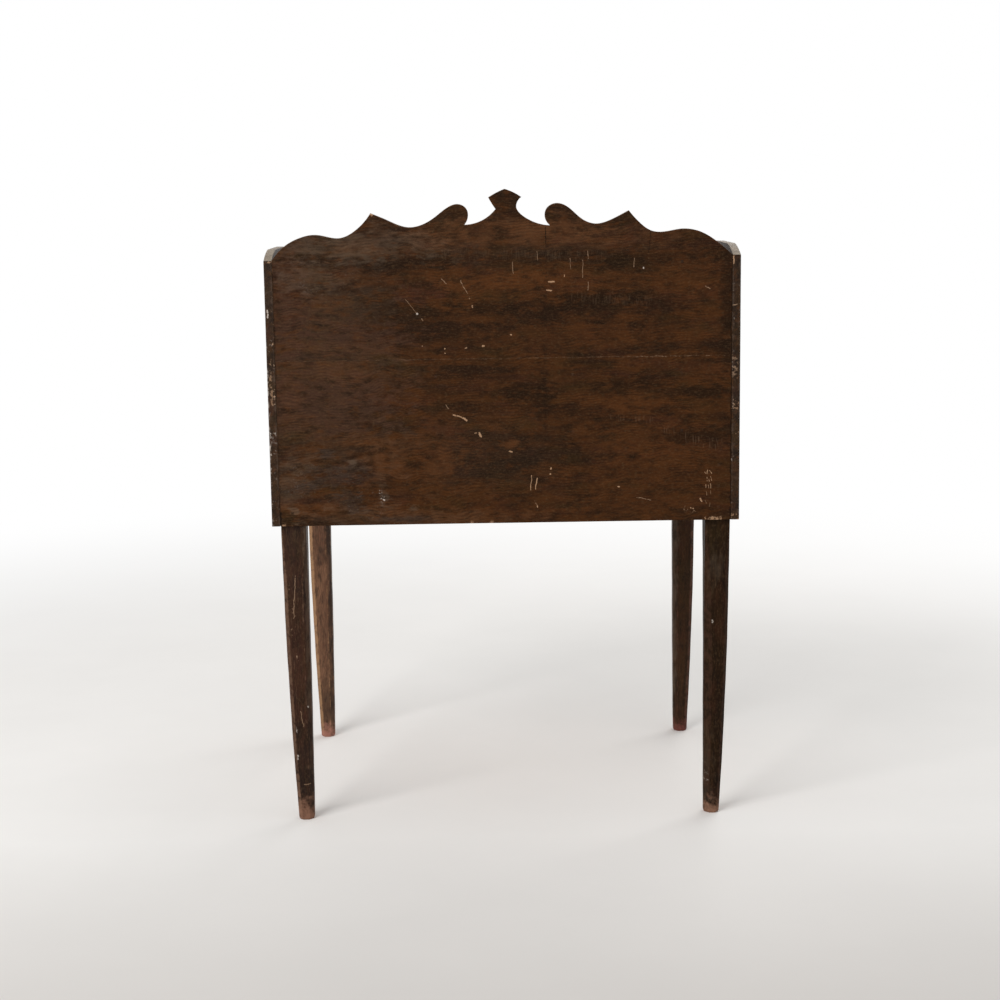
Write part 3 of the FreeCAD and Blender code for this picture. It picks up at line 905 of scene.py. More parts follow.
class PaintLayers:
    """The layers of a grained paint, as nodes of its material."""

    def __init__(self, paint: GrainedPaint) -> None:
        """Starts the material, and bends places as the grain wanders.

        Args:
            paint: The paint's colours, sizes and wear.
        """
        self.paint = paint
        self.material = bpy.data.materials.new(paint.name)
        self.add = Nodes(self.material).add
        self.place = self.add("TexCoord", out="Object")
        self.bent = self.strayed(Pattern.WANDER, paint.wander_width)
        self.grime = self.spread(self.place, Pattern.GRIME)

    def on_face(self, point: Point) -> Vector:
        """Puts a point of the face in space, with nothing on the third axis.

        Args:
            point: Its values on the face's two axes.

        Returns:
            The point.
        """
        place = Vector((0, 0, 0))
        for axis, value in zip(self.paint.face, point):
            place[axis.value] = value
        return place

    def stretched(self, place: Socket, along: float, across: float) -> Socket:
        """Scales places so that a pattern of size 1 gets a size along and across the grain.

        Args:
            place: Where on the piece, in metres.
            along: The pattern's size along the grain, in millimetres.
            across: Its size across the grain.

        Returns:
            The scaled places.
        """
        scale = [1 / (across * MM)] * 3
        scale[self.paint.grain.value] = 1 / (along * MM)
        return self.add("VectorMath.MULTIPLY", {0: place, 1: scale})

    def spread(self, place: Socket, pattern: Pattern, out: int | str | None = 0) -> Socket:
        """Spreads a pattern over the piece, along its grain.

        Args:
            place: Where on the piece, in metres.
            pattern: The pattern.
            out: The output that is wanted, or None for all of them.

        Returns:
            The pattern there.
        """
        along, across, detail, roughness = pattern.value
        noise = {"Vector": self.stretched(place, along, across), "Scale": 1.0}
        return self.add("TexNoise", {**noise, "Detail": detail, "Roughness": roughness}, out)

    def strayed(self, pattern: Pattern, width: float) -> Socket:
        """Moves places about: by a pattern's colour less a half, times a width.

        Args:
            pattern: The pattern.
            width: How far places stray from side to side, in millimetres.

        Returns:
            The moved places.
        """
        off = self.spread(self.place, pattern, "Color")
        off = self.add("VectorMath.SUBTRACT", {0: off, 1: (0.5, 0.5, 0.5)})
        off = self.add("VectorMath.SCALE", {0: off, "Scale": width * MM})
        return self.add("VectorMath.ADD", {0: self.place, 1: off})

    def behind(self, place: Socket, limit: float) -> Socket:
        """Gives 0 where a place is in front of a limit on y, and 1 from a little behind it."""
        depth = self.add("SeparateXYZ", {"Vector": place}, "Y")
        return self.add("MapRange", {0: depth, 1: limit * MM, 2: (limit + LIMIT_FADE) * MM})

    def coated(self, colour: Socket, coats: list[tuple[Socket, str]]) -> Socket:
        """Lays coats over a colour, in order.

        Args:
            colour: The colour under the coats.
            coats: Where each coat covers, and its sRGB.

        Returns:
            The colour with the coats on it.
        """
        for mask, code in coats:
            colour = self.add("Mix", {0: mask, 6: colour, 7: linear(code)}, 2, **RGBA)
        return colour

    def patched(self, bare: Socket, uneven: Socket) -> Socket:
        """Adds the cloudy patches.

        A patch is an ellipse that fades out between the middle and a little past its edge. Noise is added to
        the distance from its middle.

        Args:
            bare: The colour under the patches.
            uneven: Noise that breaks up their outlines.

        Returns:
            The colour with the patches on it.
        """
        coats = []
        for patch in self.paint.patches:
            middle = self.on_face(patch.place) * MM
            scale = self.on_face((1 / patch.half[0], 1 / patch.half[1])) / MM
            off = self.add("VectorMath.SUBTRACT", {0: self.bent, 1: middle})
            off = self.add("VectorMath.MULTIPLY", {0: off, 1: scale})
            far = self.add("VectorMath.LENGTH", {0: off}, "Value")
            far = self.add("Math.MULTIPLY_ADD", {0: uneven, 1: self.paint.patch_break, 2: far})
            mask = self.add("MapRange", Ramp.PATCH.over(far, patch.strength), **EASE)
            coats.append((mask, patch.tone.value))
        colour = self.coated(bare, coats)
        if self.paint.reach is None:
            return colour
        kept = self.behind(self.bent, self.paint.reach)
        return self.add("Mix", {0: kept, 6: bare, 7: colour}, 2, **RGBA)

    def marked(
        self, place: Socket, kind: MarkKind, uneven: Socket, breaks: dict[BreakUp, Socket]
    ) -> Socket | float:
        """Adds the masks of all marks of a kind, and keeps the strongest.

        A mark's mask falls from 1 near its line to 0 a little past half its width. The distance is to the
        nearest point of the line: the start plus the line times the clamped share of it that the place lies
        along. It is multiplied by noise, so that the width varies.

        Args:
            place: Where on the board, in metres, strayed a little.
            kind: The kind of mark.
            uneven: What the distance is multiplied by.
            breaks: What breaks up the marks.

        Returns:
            The strongest mask.
        """
        strongest = 0.0
        for mark in (mark for mark in self.paint.marks if mark.kind is kind):
            start = self.on_face(mark.start) * MM
            line = self.on_face(mark.end) * MM - start
            off = self.add("VectorMath.SUBTRACT", {0: place, 1: start})
            ray = line / max(line.length_squared, MM**2)
            share = self.add("VectorMath.DOT_PRODUCT", {0: off, 1: ray}, "Value")
            share = self.add("Clamp", {"Value": share})
            nearest = self.add("VectorMath.SCALE", {0: line, "Scale": share})
            far = self.add("VectorMath.DISTANCE", {0: off, 1: nearest}, "Value")
            far = self.add("Math.MULTIPLY", {0: far, 1: uneven})
            edge, core = (part * mark.width * MM for part in MARK_FADE)
            mask = self.add("MapRange", {0: far, 1: edge, 2: core, 4: mark.strength}, **EASE)
            mask = self.add("Math.MULTIPLY", {0: mask, 1: breaks[mark.broken]})
            strongest = self.add("Math.MAXIMUM", {0: strongest, 1: mask})
        return strongest

    def mark_masks(self) -> dict[MarkKind, Socket | float]:
        """Gives the masks of all marks, with ragged outlines and broken up.

        Returns:
            A mask for each kind of mark, or nothing where there are no marks.
        """
        if not self.paint.marks:
            return {}
        ragged = self.strayed(Pattern.RAGGED, self.paint.ragged_width)
        ragged = self.add("VectorMath.MULTIPLY", {0: ragged, 1: self.on_face((1, 1))})
        crumbs, grit, clumps = (
            self.spread(self.place, pattern) for pattern in (Pattern.CRUMBS, Pattern.GRIT, Pattern.CLUMPS)
        )
        specks = self.add("Math.MULTIPLY_ADD", {0: clumps, 1: CLUMP_SHARE, 2: grit})
        gap, tall = (1 / (size * MM) for size in self.paint.tick_size)
        ticks = self.add("VectorMath.MULTIPLY", {0: self.place, 1: (gap, 1, tall)})
        ticks = self.add("TexNoise", {"Vector": ticks, "Scale": 1.0, "Detail": 2.0})
        uneven = self.add("MapRange", Ramp.MARK_WIDTH.over(grit))
        breaks = {
            broken: self.add("MapRange", Ramp[broken.name].over(noise), **EASE)
            for broken, noise in zip(BreakUp, (crumbs, crumbs, specks, ticks))
        }
        masks = {kind: self.marked(ragged, kind, uneven, breaks) for kind in MarkKind}
        if self.paint.reach is None:
            return masks
        kept = self.behind(self.place, self.paint.reach)
        return {kind: self.add("Math.MULTIPLY", {0: mask, 1: kept}) for kind, mask in masks.items()}

    def ground_coat(self) -> Socket:
        """Adds the clouds of glaze over the ground, the patches, and small dark and light blotches.

        Returns:
            The colour before it is combed.
        """
        clouds, blotches = (
            self.add("SeparateColor", {"Color": self.spread(self.bent, pattern, "Color")}, None)
            for pattern in (Pattern.CLOUDS, Pattern.BLOTCHES)
        )
        warm = self.add("Math.ADD", {0: clouds["Red"], 1: self.spread(self.bent, Pattern.BANDS)})
        warm = self.add("MapRange", Ramp.GLAZE.over(warm), **EASE)
        tones = {6: linear(self.paint.ground), 7: linear(self.paint.glaze)}
        colour = self.add("Mix", {0: warm, **tones}, 2, **RGBA)
        red = self.add("MapRange", Ramp.RED_CLOUDS.over(clouds["Green"]), **EASE)
        olive = self.add("MapRange", Ramp.OLIVE_CLOUDS.over(clouds["Blue"]), **EASE)
        colour = self.coated(colour, [(red, Tone.RED.value), (olive, Tone.OLIVE.value)])
        colour = self.patched(colour, blotches["Green"])
        dark = self.add("MapRange", Ramp.DARK_BLOTCHES.over(blotches["Red"]), **EASE)
        light = self.add("MapRange", Ramp.LIGHT_BLOTCHES.over(blotches["Blue"]), **EASE)
        return self.coated(colour, [(dark, Tone.DARK.value), (light, self.paint.flecks)])

    def combed(self) -> Socket:
        """Adds the wavy lines that the grainer's comb left, and short streaks between them.

        The lines waver, and fade in and out, over a few centimetres.

        Returns:
            How light the paint is, about 1.
        """
        fading = self.spread(self.place, Pattern.FADING, None)
        waver = self.add("VectorMath.SCALE", {0: fading["Color"], "Scale": self.paint.waver * MM})
        waver = self.add("VectorMath.ADD", {0: self.bent, 1: waver})
        wave = {"Scale": WAVE_SCALE, "Distortion": 1.0, "Detail": 2.0, "Detail Scale": 0.7}
        wave["Vector"] = self.stretched(waver, *self.paint.comb_size)
        lines = self.add("TexWave", wave, "Fac", bands_direction="DIAGONAL")
        lines = self.add("Math.SUBTRACT", {0: lines, 1: 0.5})
        strong = self.add("MapRange", Ramp.COMBED_LINES.over(fading["Fac"]), **EASE)
        light = self.add("Math.MULTIPLY_ADD", {0: lines, 1: strong, 2: 1.0})
        for pattern in (Pattern.STREAKS, Pattern.MOTTLE):
            shade = self.add("MapRange", Ramp[pattern.name].over(self.spread(self.bent, pattern)))
            light = self.add("Math.MULTIPLY", {0: light, 1: shade})
        return light

    def wear_and_glint_coats(self) -> list[tuple[Socket, str]]:
        """Gives the coats of wear and of painted glints: a haze of pale specks painted as the varnish's
        glints, rubbed arrises, thin scratches and a rubbed foot.

        Returns:
            Where each coat covers, and its sRGB.
        """
        # Painted highlight: a fine haze of pale specks stands in for glints on the varnish's relief
        glints = self.spread(self.place, Pattern.PAINTED_GLINTS)
        glints = self.add("MapRange", Ramp.PAINTED_GLINTS.over(glints), **EASE)
        edge = self.add("Attribute", out="Fac", attribute_name="edge_wear")
        rub = self.add("Math.MULTIPLY", {0: self.grime, 1: edge})
        rub = self.add("MapRange", Ramp.RUBBED.over(rub), **EASE)
        coats = [(glints, Tone.PAINTED_GLINTS.value), (rub, self.paint.worn)]
        if self.paint.scratched:
            thin = self.spread(self.place, Pattern.THIN_SCRATCHES)
            thin = self.add("MapRange", Ramp.THIN_SCRATCHES.over(thin, self.paint.scratched), **EASE)
            coats.append((thin, MarkKind.SCRATCH.colour))
        if self.paint.foot_height:
            level = self.add("SeparateXYZ", {"Vector": self.bent}, "Z")
            level = self.add("MapRange", {0: level, 1: self.paint.foot_height * MM, 2: 0, 4: FOOT_SHARE})
            level = self.add("Math.ADD", {0: level, 1: self.grime})
            coats.append((self.add("MapRange", Ramp.FOOT.over(level), **EASE), self.paint.foot))
        return coats

    def build(self) -> bpy.types.Material:
        """Lays all the layers, from the ground to the dust.

        Returns:
            The finished material.
        """
        comb = self.combed()
        lost = self.add("Attribute", out="Fac", attribute_name="bare")
        lost = self.add("MapRange", Ramp.CHIPPED.over(lost), **EASE)
        masks = self.mark_masks()
        coats = self.wear_and_glint_coats() + [(lost, MarkKind.CHIP.colour)]
        coats += [(mask, kind.colour) for kind, mask in masks.items()]
        colour = self.add("VectorMath.SCALE", {0: self.ground_coat(), "Scale": comb})
        colour = self.coated(colour, coats)
        height = self.add("Math.MULTIPLY_ADD", {0: lost, 1: MarkKind.CHIP.relief, 2: comb})
        for kind, mask in masks.items():
            height = self.add("Math.MULTIPLY_ADD", {0: mask, 1: kind.relief, 2: height})
            lost = self.add("Math.MAXIMUM", {0: lost, 1: mask})
        if self.paint.bare_from is not None:
            pine = self.add("VectorMath.SCALE", {0: linear(BARE_WOOD)[:3], "Scale": comb})
            unpainted = self.behind(self.place, self.paint.bare_from)
            colour = self.add("Mix", {0: unpainted, 6: colour, 7: pine}, 2, **RGBA)
        # Dust and painted sheen: top faces are paler, for their dust and for the light grazing them
        facing = self.add("SeparateXYZ", {"Vector": self.add("NewGeometry", out="Normal")}, "Z")
        dust_and_sheen_mask = self.add("MapRange", Ramp.TOP_FACE.over(facing, DUST_AND_SHEEN_GAIN * self.paint.dust_and_sheen), **EASE)
        dust_and_sheen_mask = self.add("Math.MULTIPLY", {0: dust_and_sheen_mask, 1: self.grime}, use_clamp=True)
        gloss = self.add("MapRange", Ramp.GLOSS.over(self.grime))
        gloss = self.add("Math.MULTIPLY_ADD", {0: lost, 1: CHIP_ROUGHNESS, 2: gloss})
        bump = self.add("Bump", {"Strength": 0.35, "Distance": self.paint.relief * MM, "Height": height})
        varnish = {"Roughness": gloss, "Normal": bump, "Specular IOR Level": self.paint.shine}
        colour = self.coated(colour, [(dust_and_sheen_mask, DUST_AND_SHEEN)])
        shader = self.add("BsdfPrincipled", {"Base Color": colour, **varnish})
        self.add("OutputMaterial", {"Surface": shader}, None)
        return self.material


@dataclass(frozen=True)
class AgedPine:
    """Bare pine, planed and browned by age: soft bands of rings, fine fibres, and dirt in clouds over both.

    Attributes:
        name: The material's name.
        grain: The axis that the grain runs along.
        early: The pale early wood.
        late: The darker late wood.
        ring: Width of a growth ring as it shows on a face, in millimetres.
        figure: How long the figure runs along the grain.
        fibres: How many fibres go to a ring.
        dirt: How large the dirty places are.
        relief: How deep the fibres' relief is.
    """

    name: str
    grain: Axis
    early: str = "#a9794c"
    late: str = "#7a4e2b"
    ring: float = 7.0
    figure: float = 350.0
    fibres: float = 6.0
    dirt: float = 90.0
    relief: float = 0.3

    def build(self) -> bpy.types.Material:
        """Builds the material.

        Returns:
            The finished material.
        """
        nodes = Nodes(bpy.data.materials.new(self.name))
        place = nodes.add("TexCoord", out="Object")
        scale = [1 / (self.ring * MM)] * 3
        scale[self.grain.value] = 1 / (self.figure * MM)
        coarse = nodes.add("VectorMath.MULTIPLY", {0: place, 1: scale})
        rings = nodes.add("TexNoise", {"Vector": coarse, "Scale": 1.0, "Detail": 3.0, "Distortion": 0.4})
        fine = nodes.add("VectorMath.MULTIPLY", {0: coarse, 1: (self.fibres,) * 3})
        fibre = nodes.add("TexNoise", {"Vector": fine, "Scale": 1.0, "Detail": 2.0})
        dirt = nodes.add("TexNoise", {"Vector": place, "Scale": 1 / (self.dirt * MM), "Detail": 5.0})
        late = nodes.add("MapRange", Ramp.GROWTH_RINGS.over(rings), **EASE)
        colour = nodes.add("Mix", {0: late, 6: linear(self.early), 7: linear(self.late)}, 2, **RGBA)
        shade = nodes.add("MapRange", Ramp.DIRT.over(dirt))
        grainy = nodes.add("MapRange", Ramp.FIBRE.over(fibre))
        shade = nodes.add("Math.MULTIPLY", {0: shade, 1: grainy})
        colour = nodes.add("VectorMath.SCALE", {0: colour, "Scale": shade})
        bump = nodes.add("Bump", {"Strength": 0.3, "Distance": self.relief * MM, "Height": fibre})
        planed = {"Roughness": 0.72, "Normal": bump, "Specular IOR Level": 0.2}
        shader = nodes.add("BsdfPrincipled", {"Base Color": colour, **planed})
        nodes.add("OutputMaterial", {"Surface": shader}, None)
        return nodes.owner


@dataclass(frozen=True)
class TurnedFruitwood:
    """Turned fruitwood, stained dark and polished by hands: close grain, a low gloss and a lighter rim.

    Attributes:
        name: The material's name.
        heart: The dark stain.
        rubbed: What shows where fingers rub.
        grain: The grain's size across and along the turning's axis, in millimetres.
        relief: How deep the grain's relief is.
    """

    name: str = "stained_fruitwood"
    heart: str = "#24130b"
    rubbed: str = "#5b331b"
    grain: Point = (1.6, 20.0)
    relief: float = 0.2

    def build(self) -> bpy.types.Material:
        """Builds the material.

        Returns:
            The finished material.
        """
        nodes = Nodes(bpy.data.materials.new(self.name))
        place = nodes.add("TexCoord", out="Object")
        across, along = (1 / (size * MM) for size in self.grain)
        vector = nodes.add("VectorMath.MULTIPLY", {0: place, 1: (across, along, across)})
        grain = nodes.add("TexNoise", {"Vector": vector, "Scale": 1.0, "Detail": 3.0})
        edge = nodes.add("Attribute", out="Fac", attribute_name="edge_wear")
        rub = nodes.add("Math.MULTIPLY_ADD", {0: grain, 1: KNOB_GRAIN, 2: edge})
        rub = nodes.add("MapRange", Ramp.HANDLED.over(rub), **EASE)
        colour = nodes.add("Mix", {0: rub, 6: linear(self.heart), 7: linear(self.rubbed)}, 2, **RGBA)
        bump = nodes.add("Bump", {"Strength": 0.15, "Distance": self.relief * MM, "Height": grain})
        gloss = nodes.add("MapRange", Ramp.POLISH.over(grain))
        polish = {"Roughness": gloss, "Normal": bump, "Specular IOR Level": 0.25}
        shader = nodes.add("BsdfPrincipled", {"Base Color": colour, **polish})
        nodes.add("OutputMaterial", {"Surface": shader}, None)
        return nodes.owner


@dataclass
class Workshop:
    """Dresses pieces and keeps count of them.

    Attributes:
        made: How many pieces are dressed.
        weld: How far apart a CAD mesh's corners are joined.
        bevel_angle: How sharp an edge is softened, in degrees.
    """

    made: int = 0
    weld: float = 0.01
    bevel_angle: float = 40.0

    def fit(
        self, name: str, skin: Skin, material: bpy.types.Material, node: str,
        body: Body = Body.CARCASS, slot: Slot = Slot.GRAINED_WOOD,
    ) -> None:
        """Makes a piece, dresses it, and lets it ride in place of a CAD node.

        Args:
            name: The piece's name.
            skin: Its surface.
            material: Its finish.
            node: The CAD node that it stands for.
            body: The body that it rides on.
            slot: The record's slot for its finish. It is not used.
        """
        piece = skin.to_object(name)
        piece.data.materials.append(material)
        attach(piece, body.value)
        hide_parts(node)
        self.made += 1
        LOG.info("%s: %d faces, rides on %s", name, len(skin.faces), body.value)

    def dress(self, node: str, material: bpy.types.Material, arris: float = 0.6) -> None:
        """Gives a CAD node its finish, and softens its arrises.

        Args:
            node: The node's name.
            material: Its finish.
            arris: Width of the softened arris, in millimetres.
        """
        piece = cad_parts[node]
        piece.material_slots[0].material = material
        weld = piece.modifiers.new("joined_corners", "WELD")
        weld.merge_threshold = self.weld * MM
        bevel = piece.modifiers.new("soft_arris", "BEVEL")
        bevel.width = arris * MM
        bevel.segments = 2
        bevel.limit_method = "ANGLE"
        bevel.angle_limit = math.radians(self.bevel_angle)
        normals = piece.modifiers.new("flat_faces", "WEIGHTED_NORMAL")
        normals.weight = 100
        self.made += 1
        LOG.info("%s: CAD node, dressed in %s", node, material.name)


@dataclass
class SubAssembly:
    """Pieces of the desk that are made and dressed together.

    Attributes:
        shop: Where pieces are dressed.
    """

    shop: Workshop


@dataclass
class ScrollBack(SubAssembly):
    """The two wide back boards: a plain lower one, and an upper one with a scroll-cut crest.

    Attributes:
        crest_rise: Height of the crest over its shoulders.
        proud: How far the nail heads stand out of the painted face.
        spacing: Distance between points on the crest.
        lower_spacing: Distance between points on the lower board's outline.
        paint_depth: How far forward of the back face the patches and marks reach.
        joint_arris: Share of the arris's radius that is left where the boards meet.
        crest_nicks: Knocked-off bits of the crest.
        lower_nicks: Knocked-off bits of the lower edge.
        stretches: The crest's curves, as shares of half the width and of the crest's rise.
        patches: Cloudy places, the pale ones partly painted sheen: middle, half sizes and strength, from the
            first laid to the last.
        marks: Chips, scratches and cracks: ends, width and strength.
    """

    crest_rise: float = 121.0
    proud: float = 0.15
    spacing: float = 2.2
    lower_spacing: float = 3.0
    paint_depth: float = 5.0
    joint_arris: float = 0.3
    crest_nicks: tuple[Nick, ...] = (Nick((231, 1127), 4.0, 1.1), Nick((-20, 1165), 4.0, 0.5))
    lower_nicks: tuple[Nick, ...] = (
        Nick((404, 566), 5.0, 0.6), Nick((62, 566), 4.0, 0.5), Nick((26, 566), 5.0, 0.5),
        Nick((-374, 566), 4.0, 0.5), Nick((-384, 566), 4.0, 0.6),
    )
    stretches: tuple[tuple[Point, ...], ...] = (
        (
            (-1.0, 0.0), (-0.959, 0.170), (-0.890, 0.313), (-0.802, 0.367),
            (-0.707, 0.317), (-0.629, 0.446), (-0.569, 0.674),
        ),
        (
            (-0.569, 0.674), (-0.507, 0.585), (-0.405, 0.462), (-0.300, 0.583), (-0.238, 0.738),
            (-0.190, 0.789), (-0.153, 0.714), (-0.147, 0.621), (-0.163, 0.488),
        ),
        ((-0.163, 0.488), (-0.092, 0.540), (-0.028, 0.709)),
        ((-0.028, 0.709), (-0.041, 0.775), (-0.059, 0.880)),
        ((-0.059, 0.880), (-0.022, 0.951), (0.012, 1.0)),
        ((0.012, 1.0), (0.048, 0.953), (0.084, 0.880)),
        (
            (0.084, 0.880), (0.066, 0.808), (0.062, 0.735), (0.081, 0.634),
            (0.115, 0.554), (0.149, 0.502), (0.207, 0.463),
        ),
        (
            (0.207, 0.463), (0.185, 0.600), (0.192, 0.705), (0.239, 0.786), (0.288, 0.722),
            (0.340, 0.568), (0.408, 0.480), (0.461, 0.520), (0.513, 0.602), (0.549, 0.666),
        ),
        (
            (0.549, 0.666), (0.583, 0.533), (0.651, 0.364), (0.684, 0.347),
            (0.783, 0.390), (0.850, 0.358), (0.945, 0.165), (1.0, 0.0),
        ),
    )
    patches: tuple[Patch, ...] = (
        *Patch.group(
            Tone.WARM,
            (-20, 1088, 165, 24, 0.95), (-40, 1004, 130, 16, 0.9), (-330, 1012, 65, 40, 0.6),
            (-130, 905, 200, 26, 0.4), (-200, 790, 80, 30, 0.45), (-275, 712, 100, 40, 0.6),
            (-250, 655, 90, 30, 0.5), (165, 690, 85, 32, 0.8), (120, 586, 190, 13, 0.75),
            (-230, 600, 120, 24, 0.4),
        ),
        *Patch.group(
            Tone.DARK,
            (60, 1047, 170, 13, 0.6), (-190, 1042, 95, 16, 0.7), (-190, 967, 95, 16, 0.9),
            (20, 958, 70, 12, 0.7), (200, 950, 100, 28, 0.75), (345, 812, 45, 22, 0.5),
            (240, 775, 60, 12, 0.5), (330, 905, 60, 10, 0.45),
        ),
        *Patch.group(Tone.WARM, (385, 800, 18, 40, 0.5), (290, 830, 50, 10, 0.5)),
        *Patch.group(
            Tone.DARK,
            (180, 905, 110, 14, 0.45), (-40, 797, 46, 17, 0.85), (-70, 800, 14, 60, 0.5),
            (-215, 815, 80, 11, 0.7), (-360, 797, 44, 12, 0.85), (20, 722, 100, 12, 0.55),
            (-5, 672, 46, 17, 0.7), (-232, 684, 10, 6, 0.95), (-335, 716, 52, 14, 0.75),
            (200, 742, 52, 11, 0.75), (250, 640, 85, 20, 0.35), (-400, 960, 12, 100, 0.75),
            (0, 1150, 22, 40, 0.4), (-38, 676, 12, 9, 0.8), (20, 673, 9, 6, 0.8), (-128, 705, 10, 7, 0.6),
            (-112, 740, 14, 7, 0.7), (210, 1033, 85, 6, 0.7), (174, 1006, 6, 4, 0.7),
            (-200, 800, 34, 8, 0.7),
        ),
        *Patch.group(Tone.WARM, (-11, 708, 14, 10, 0.9), (-221, 782, 50, 16, 0.6), (82, 995, 30, 12, 0.8)),
        *Patch.group(
            Tone.RED,
            (146, 983, 40, 14, 0.7), (378, 950, 34, 100, 0.55), (260, 905, 90, 30, 0.5),
            (300, 790, 120, 55, 0.5),
        ),
        # Bloom and painted sheen: pale patches, mostly on the +x half, where window light rakes the varnish
        *Patch.group(
            Tone.BLOOM,
            (255, 1070, 120, 30, 0.25), (350, 1008, 50, 28, 0.2), (380, 640, 32, 50, 0.22),
        ),
        *Patch.group(
            Tone.SMOKE,
            (290, 655, 60, 22, 0.7), (281, 608, 22, 22, 0.8), (363, 635, 26, 11, 0.7),
            (323, 698, 15, 11, 0.8), (183, 577, 46, 7, 0.7),
        ),
        *Patch.group(Tone.WARM, (207, 675, 34, 22, 0.8), (248, 716, 30, 8, 0.9), (357, 596, 50, 12, 0.8)),
        # Bloom and painted sheen: more pale patches, mostly on the +x half, where window light rakes the
        # varnish
        *Patch.group(
            Tone.BLOOM,
            (275, 677, 8, 6, 0.4), (381, 594, 8, 7, 0.35), (224, 624, 9, 16, 0.35), (170, 598, 10, 6, 0.3),
            (320, 850, 130, 220, 0.13), (0, 1080, 240, 34, 0.1), (190, 580, 200, 14, 0.12),
            (60, 690, 160, 60, 0.05),
        ),
    )
    marks: tuple[Mark, ...] = (
        *Mark.group(
            MarkKind.SCRATCH, BreakUp.WHOLE,
            (174, 974, 155, 949, 1.3, 0.6), (146, 939, 144, 936, 1.6), (76, 1006, 63, 982, 1.5),
            (109, 1009, 101, 1001, 1.8, 0.6), (-18, 1039, -18, 1016, 1.4, 0.6),
            (-62, 1056, -63, 1040, 1.2, 0.6), (-120, 1043, -121, 1025, 1.4, 0.7),
            (-151, 1055, -152, 1042, 1.6, 0.6), (-143, 1039, -142, 1008, 1.3, 0.7),
            (-152, 1000, -152, 986, 1.6, 0.6), (-234, 1042, -234, 1026, 1.7, 0.65),
            (-362, 990, -370, 986, 2.0), (107, 784, 101, 776, 1.5, 0.6), (-239, 609, -263, 604, 1.4),
        ),
        *Mark.group(
            MarkKind.PALE, BreakUp.WHOLE,
            (154, 948, 153, 947, 4.0), (-251, 1024, -251, 1023, 3.0), (222, 613, 220, 612, 3.0),
        ),
        *Mark.group(
            MarkKind.CHIP, BreakUp.TORN,
            (63, 982, 54, 958, 2.2), (-54, 605, -58, 595, 3.0), (-366, 570, -390, 569, 8.0, 0.7),
        ),
        *Mark.group(
            MarkKind.CHIP, BreakUp.WHOLE,
            (-82, 1001, -91, 1002, 3.6), (-79, 987, -86, 986, 3.4), (-110, 1013, -110, 1011, 2.6),
            (146, 891, 146, 890, 2.4), (106, 885, 105, 885, 2.6), (67, 886, 66, 886, 3.0),
            (37, 888, 35, 888, 3.4), (105, 876, 104, 876, 2.2), (-13, 909, -14, 909, 2.6),
            (92, 765, 78, 761, 2.4), (75, 760, 69, 755, 4.4), (54, 733, 46, 731, 2.2),
            (47, 731, 42, 726, 3.8), (-9, 698, -12, 696, 4.4), (-48, 653, -46, 626, 2.0),
            (-57, 648, -55, 627, 1.9), (-83, 666, -82, 664, 3.8), (-82, 655, -82, 654, 3.0),
            (-204, 630, -206, 629, 3.4), (-361, 654, -363, 652, 1.6, 0.6), (-366, 657, -365, 651, 1.7, 0.8),
            (-370, 656, -374, 652, 1.8, 0.8), (-365, 646, -366, 637, 1.6, 0.75),
            (-369, 642, -370, 637, 1.5, 0.65), (-372, 647, -374, 639, 1.6, 0.75),
            (-364, 632, -364, 624, 1.5, 0.65), (-368, 630, -369, 625, 1.5, 0.55),
            (-372, 632, -373, 624, 1.6, 0.65), (-365, 618, -366, 611, 1.4, 0.4),
            (-373, 619, -373, 613, 1.4, 0.4), (-364, 602, -366, 596, 1.4, 0.3),
            (-372, 598, -371, 591, 1.4, 0.3), (-354, 604, -357, 600, 4.0), (-337, 589, -340, 588, 3.0),
        ),
        *Mark.group(
            MarkKind.CHIP, BreakUp.SPECKLED,
            (68, 567, 8, 567, 6.0, 0.8), (408, 568, 380, 567, 7.0, 0.8),
        ),
        *Mark.group(
            MarkKind.SCRATCH, BreakUp.SPECKLED,
            (-318, 592, -345, 580, 9.0), (-90, 866, -408, 866, 2.4, 0.6),
        ),
        *Mark.group(
            MarkKind.PALE, BreakUp.SPECKLED,
            (225, 646, 223, 611, 8.0, 0.55), (370, 650, 240, 605, 70.0, 0.05),
            (385, 1010, 300, 1010, 60.0, 0.05),
        ),
        *Mark.group(
            MarkKind.SCRATCH, BreakUp.TORN,
            (-215, 866, -405, 866, 1.8, 0.4), (230, 866, -215, 866, 1.8, 0.13),
        ),
        *Mark.group(
            MarkKind.SCRATCH, BreakUp.COMBED,
            (-125, 972, -262, 966, 22.0, 0.06), (-290, 732, -330, 722, 16.0, 0.12),
            (-335, 716, -388, 702, 24.0, 0.12), (-195, 756, -270, 752, 13.0, 0.09),
            (110, 1052, -170, 1046, 24.0, 0.05),
        ),
        *Mark.group(
            MarkKind.CRACK, BreakUp.WHOLE,
            (-409, 1020, -409, 570, 3.0, 0.7), (409, 1020, 409, 570, 2.4, 0.45),
            (408.5, 590, 408.5, 566, 5.0), (-77, 1098, -76, 1070, 2.2), (-263, 1090, -261, 1051, 2.0, 0.5),
        ),
        *Mark.group(MarkKind.CRACK, BreakUp.TORN, (-76, 1070, -73, 740, 9.0, 0.3)),
    )

    def upper_outline(self) -> np.ndarray:
        """Gives the upper board's outline on x and z: the crest's curves, then straight lines to the joint.

        Returns:
            The outline's points.
        """
        low, high = box_mm("back_board_upper")
        shoulder = high[2] - self.crest_rise
        runs = []
        for stretch in self.stretches:
            shares = np.array(stretch)
            runs.append(smooth_run(shares * [low[0], self.crest_rise] + [0, shoulder], self.spacing))
        corners = [runs[-1][-1], (low[0], low[2]), (high[0], low[2]), runs[0][0]]
        return closed_outline(runs + straight_runs(corners, 2 * self.spacing))

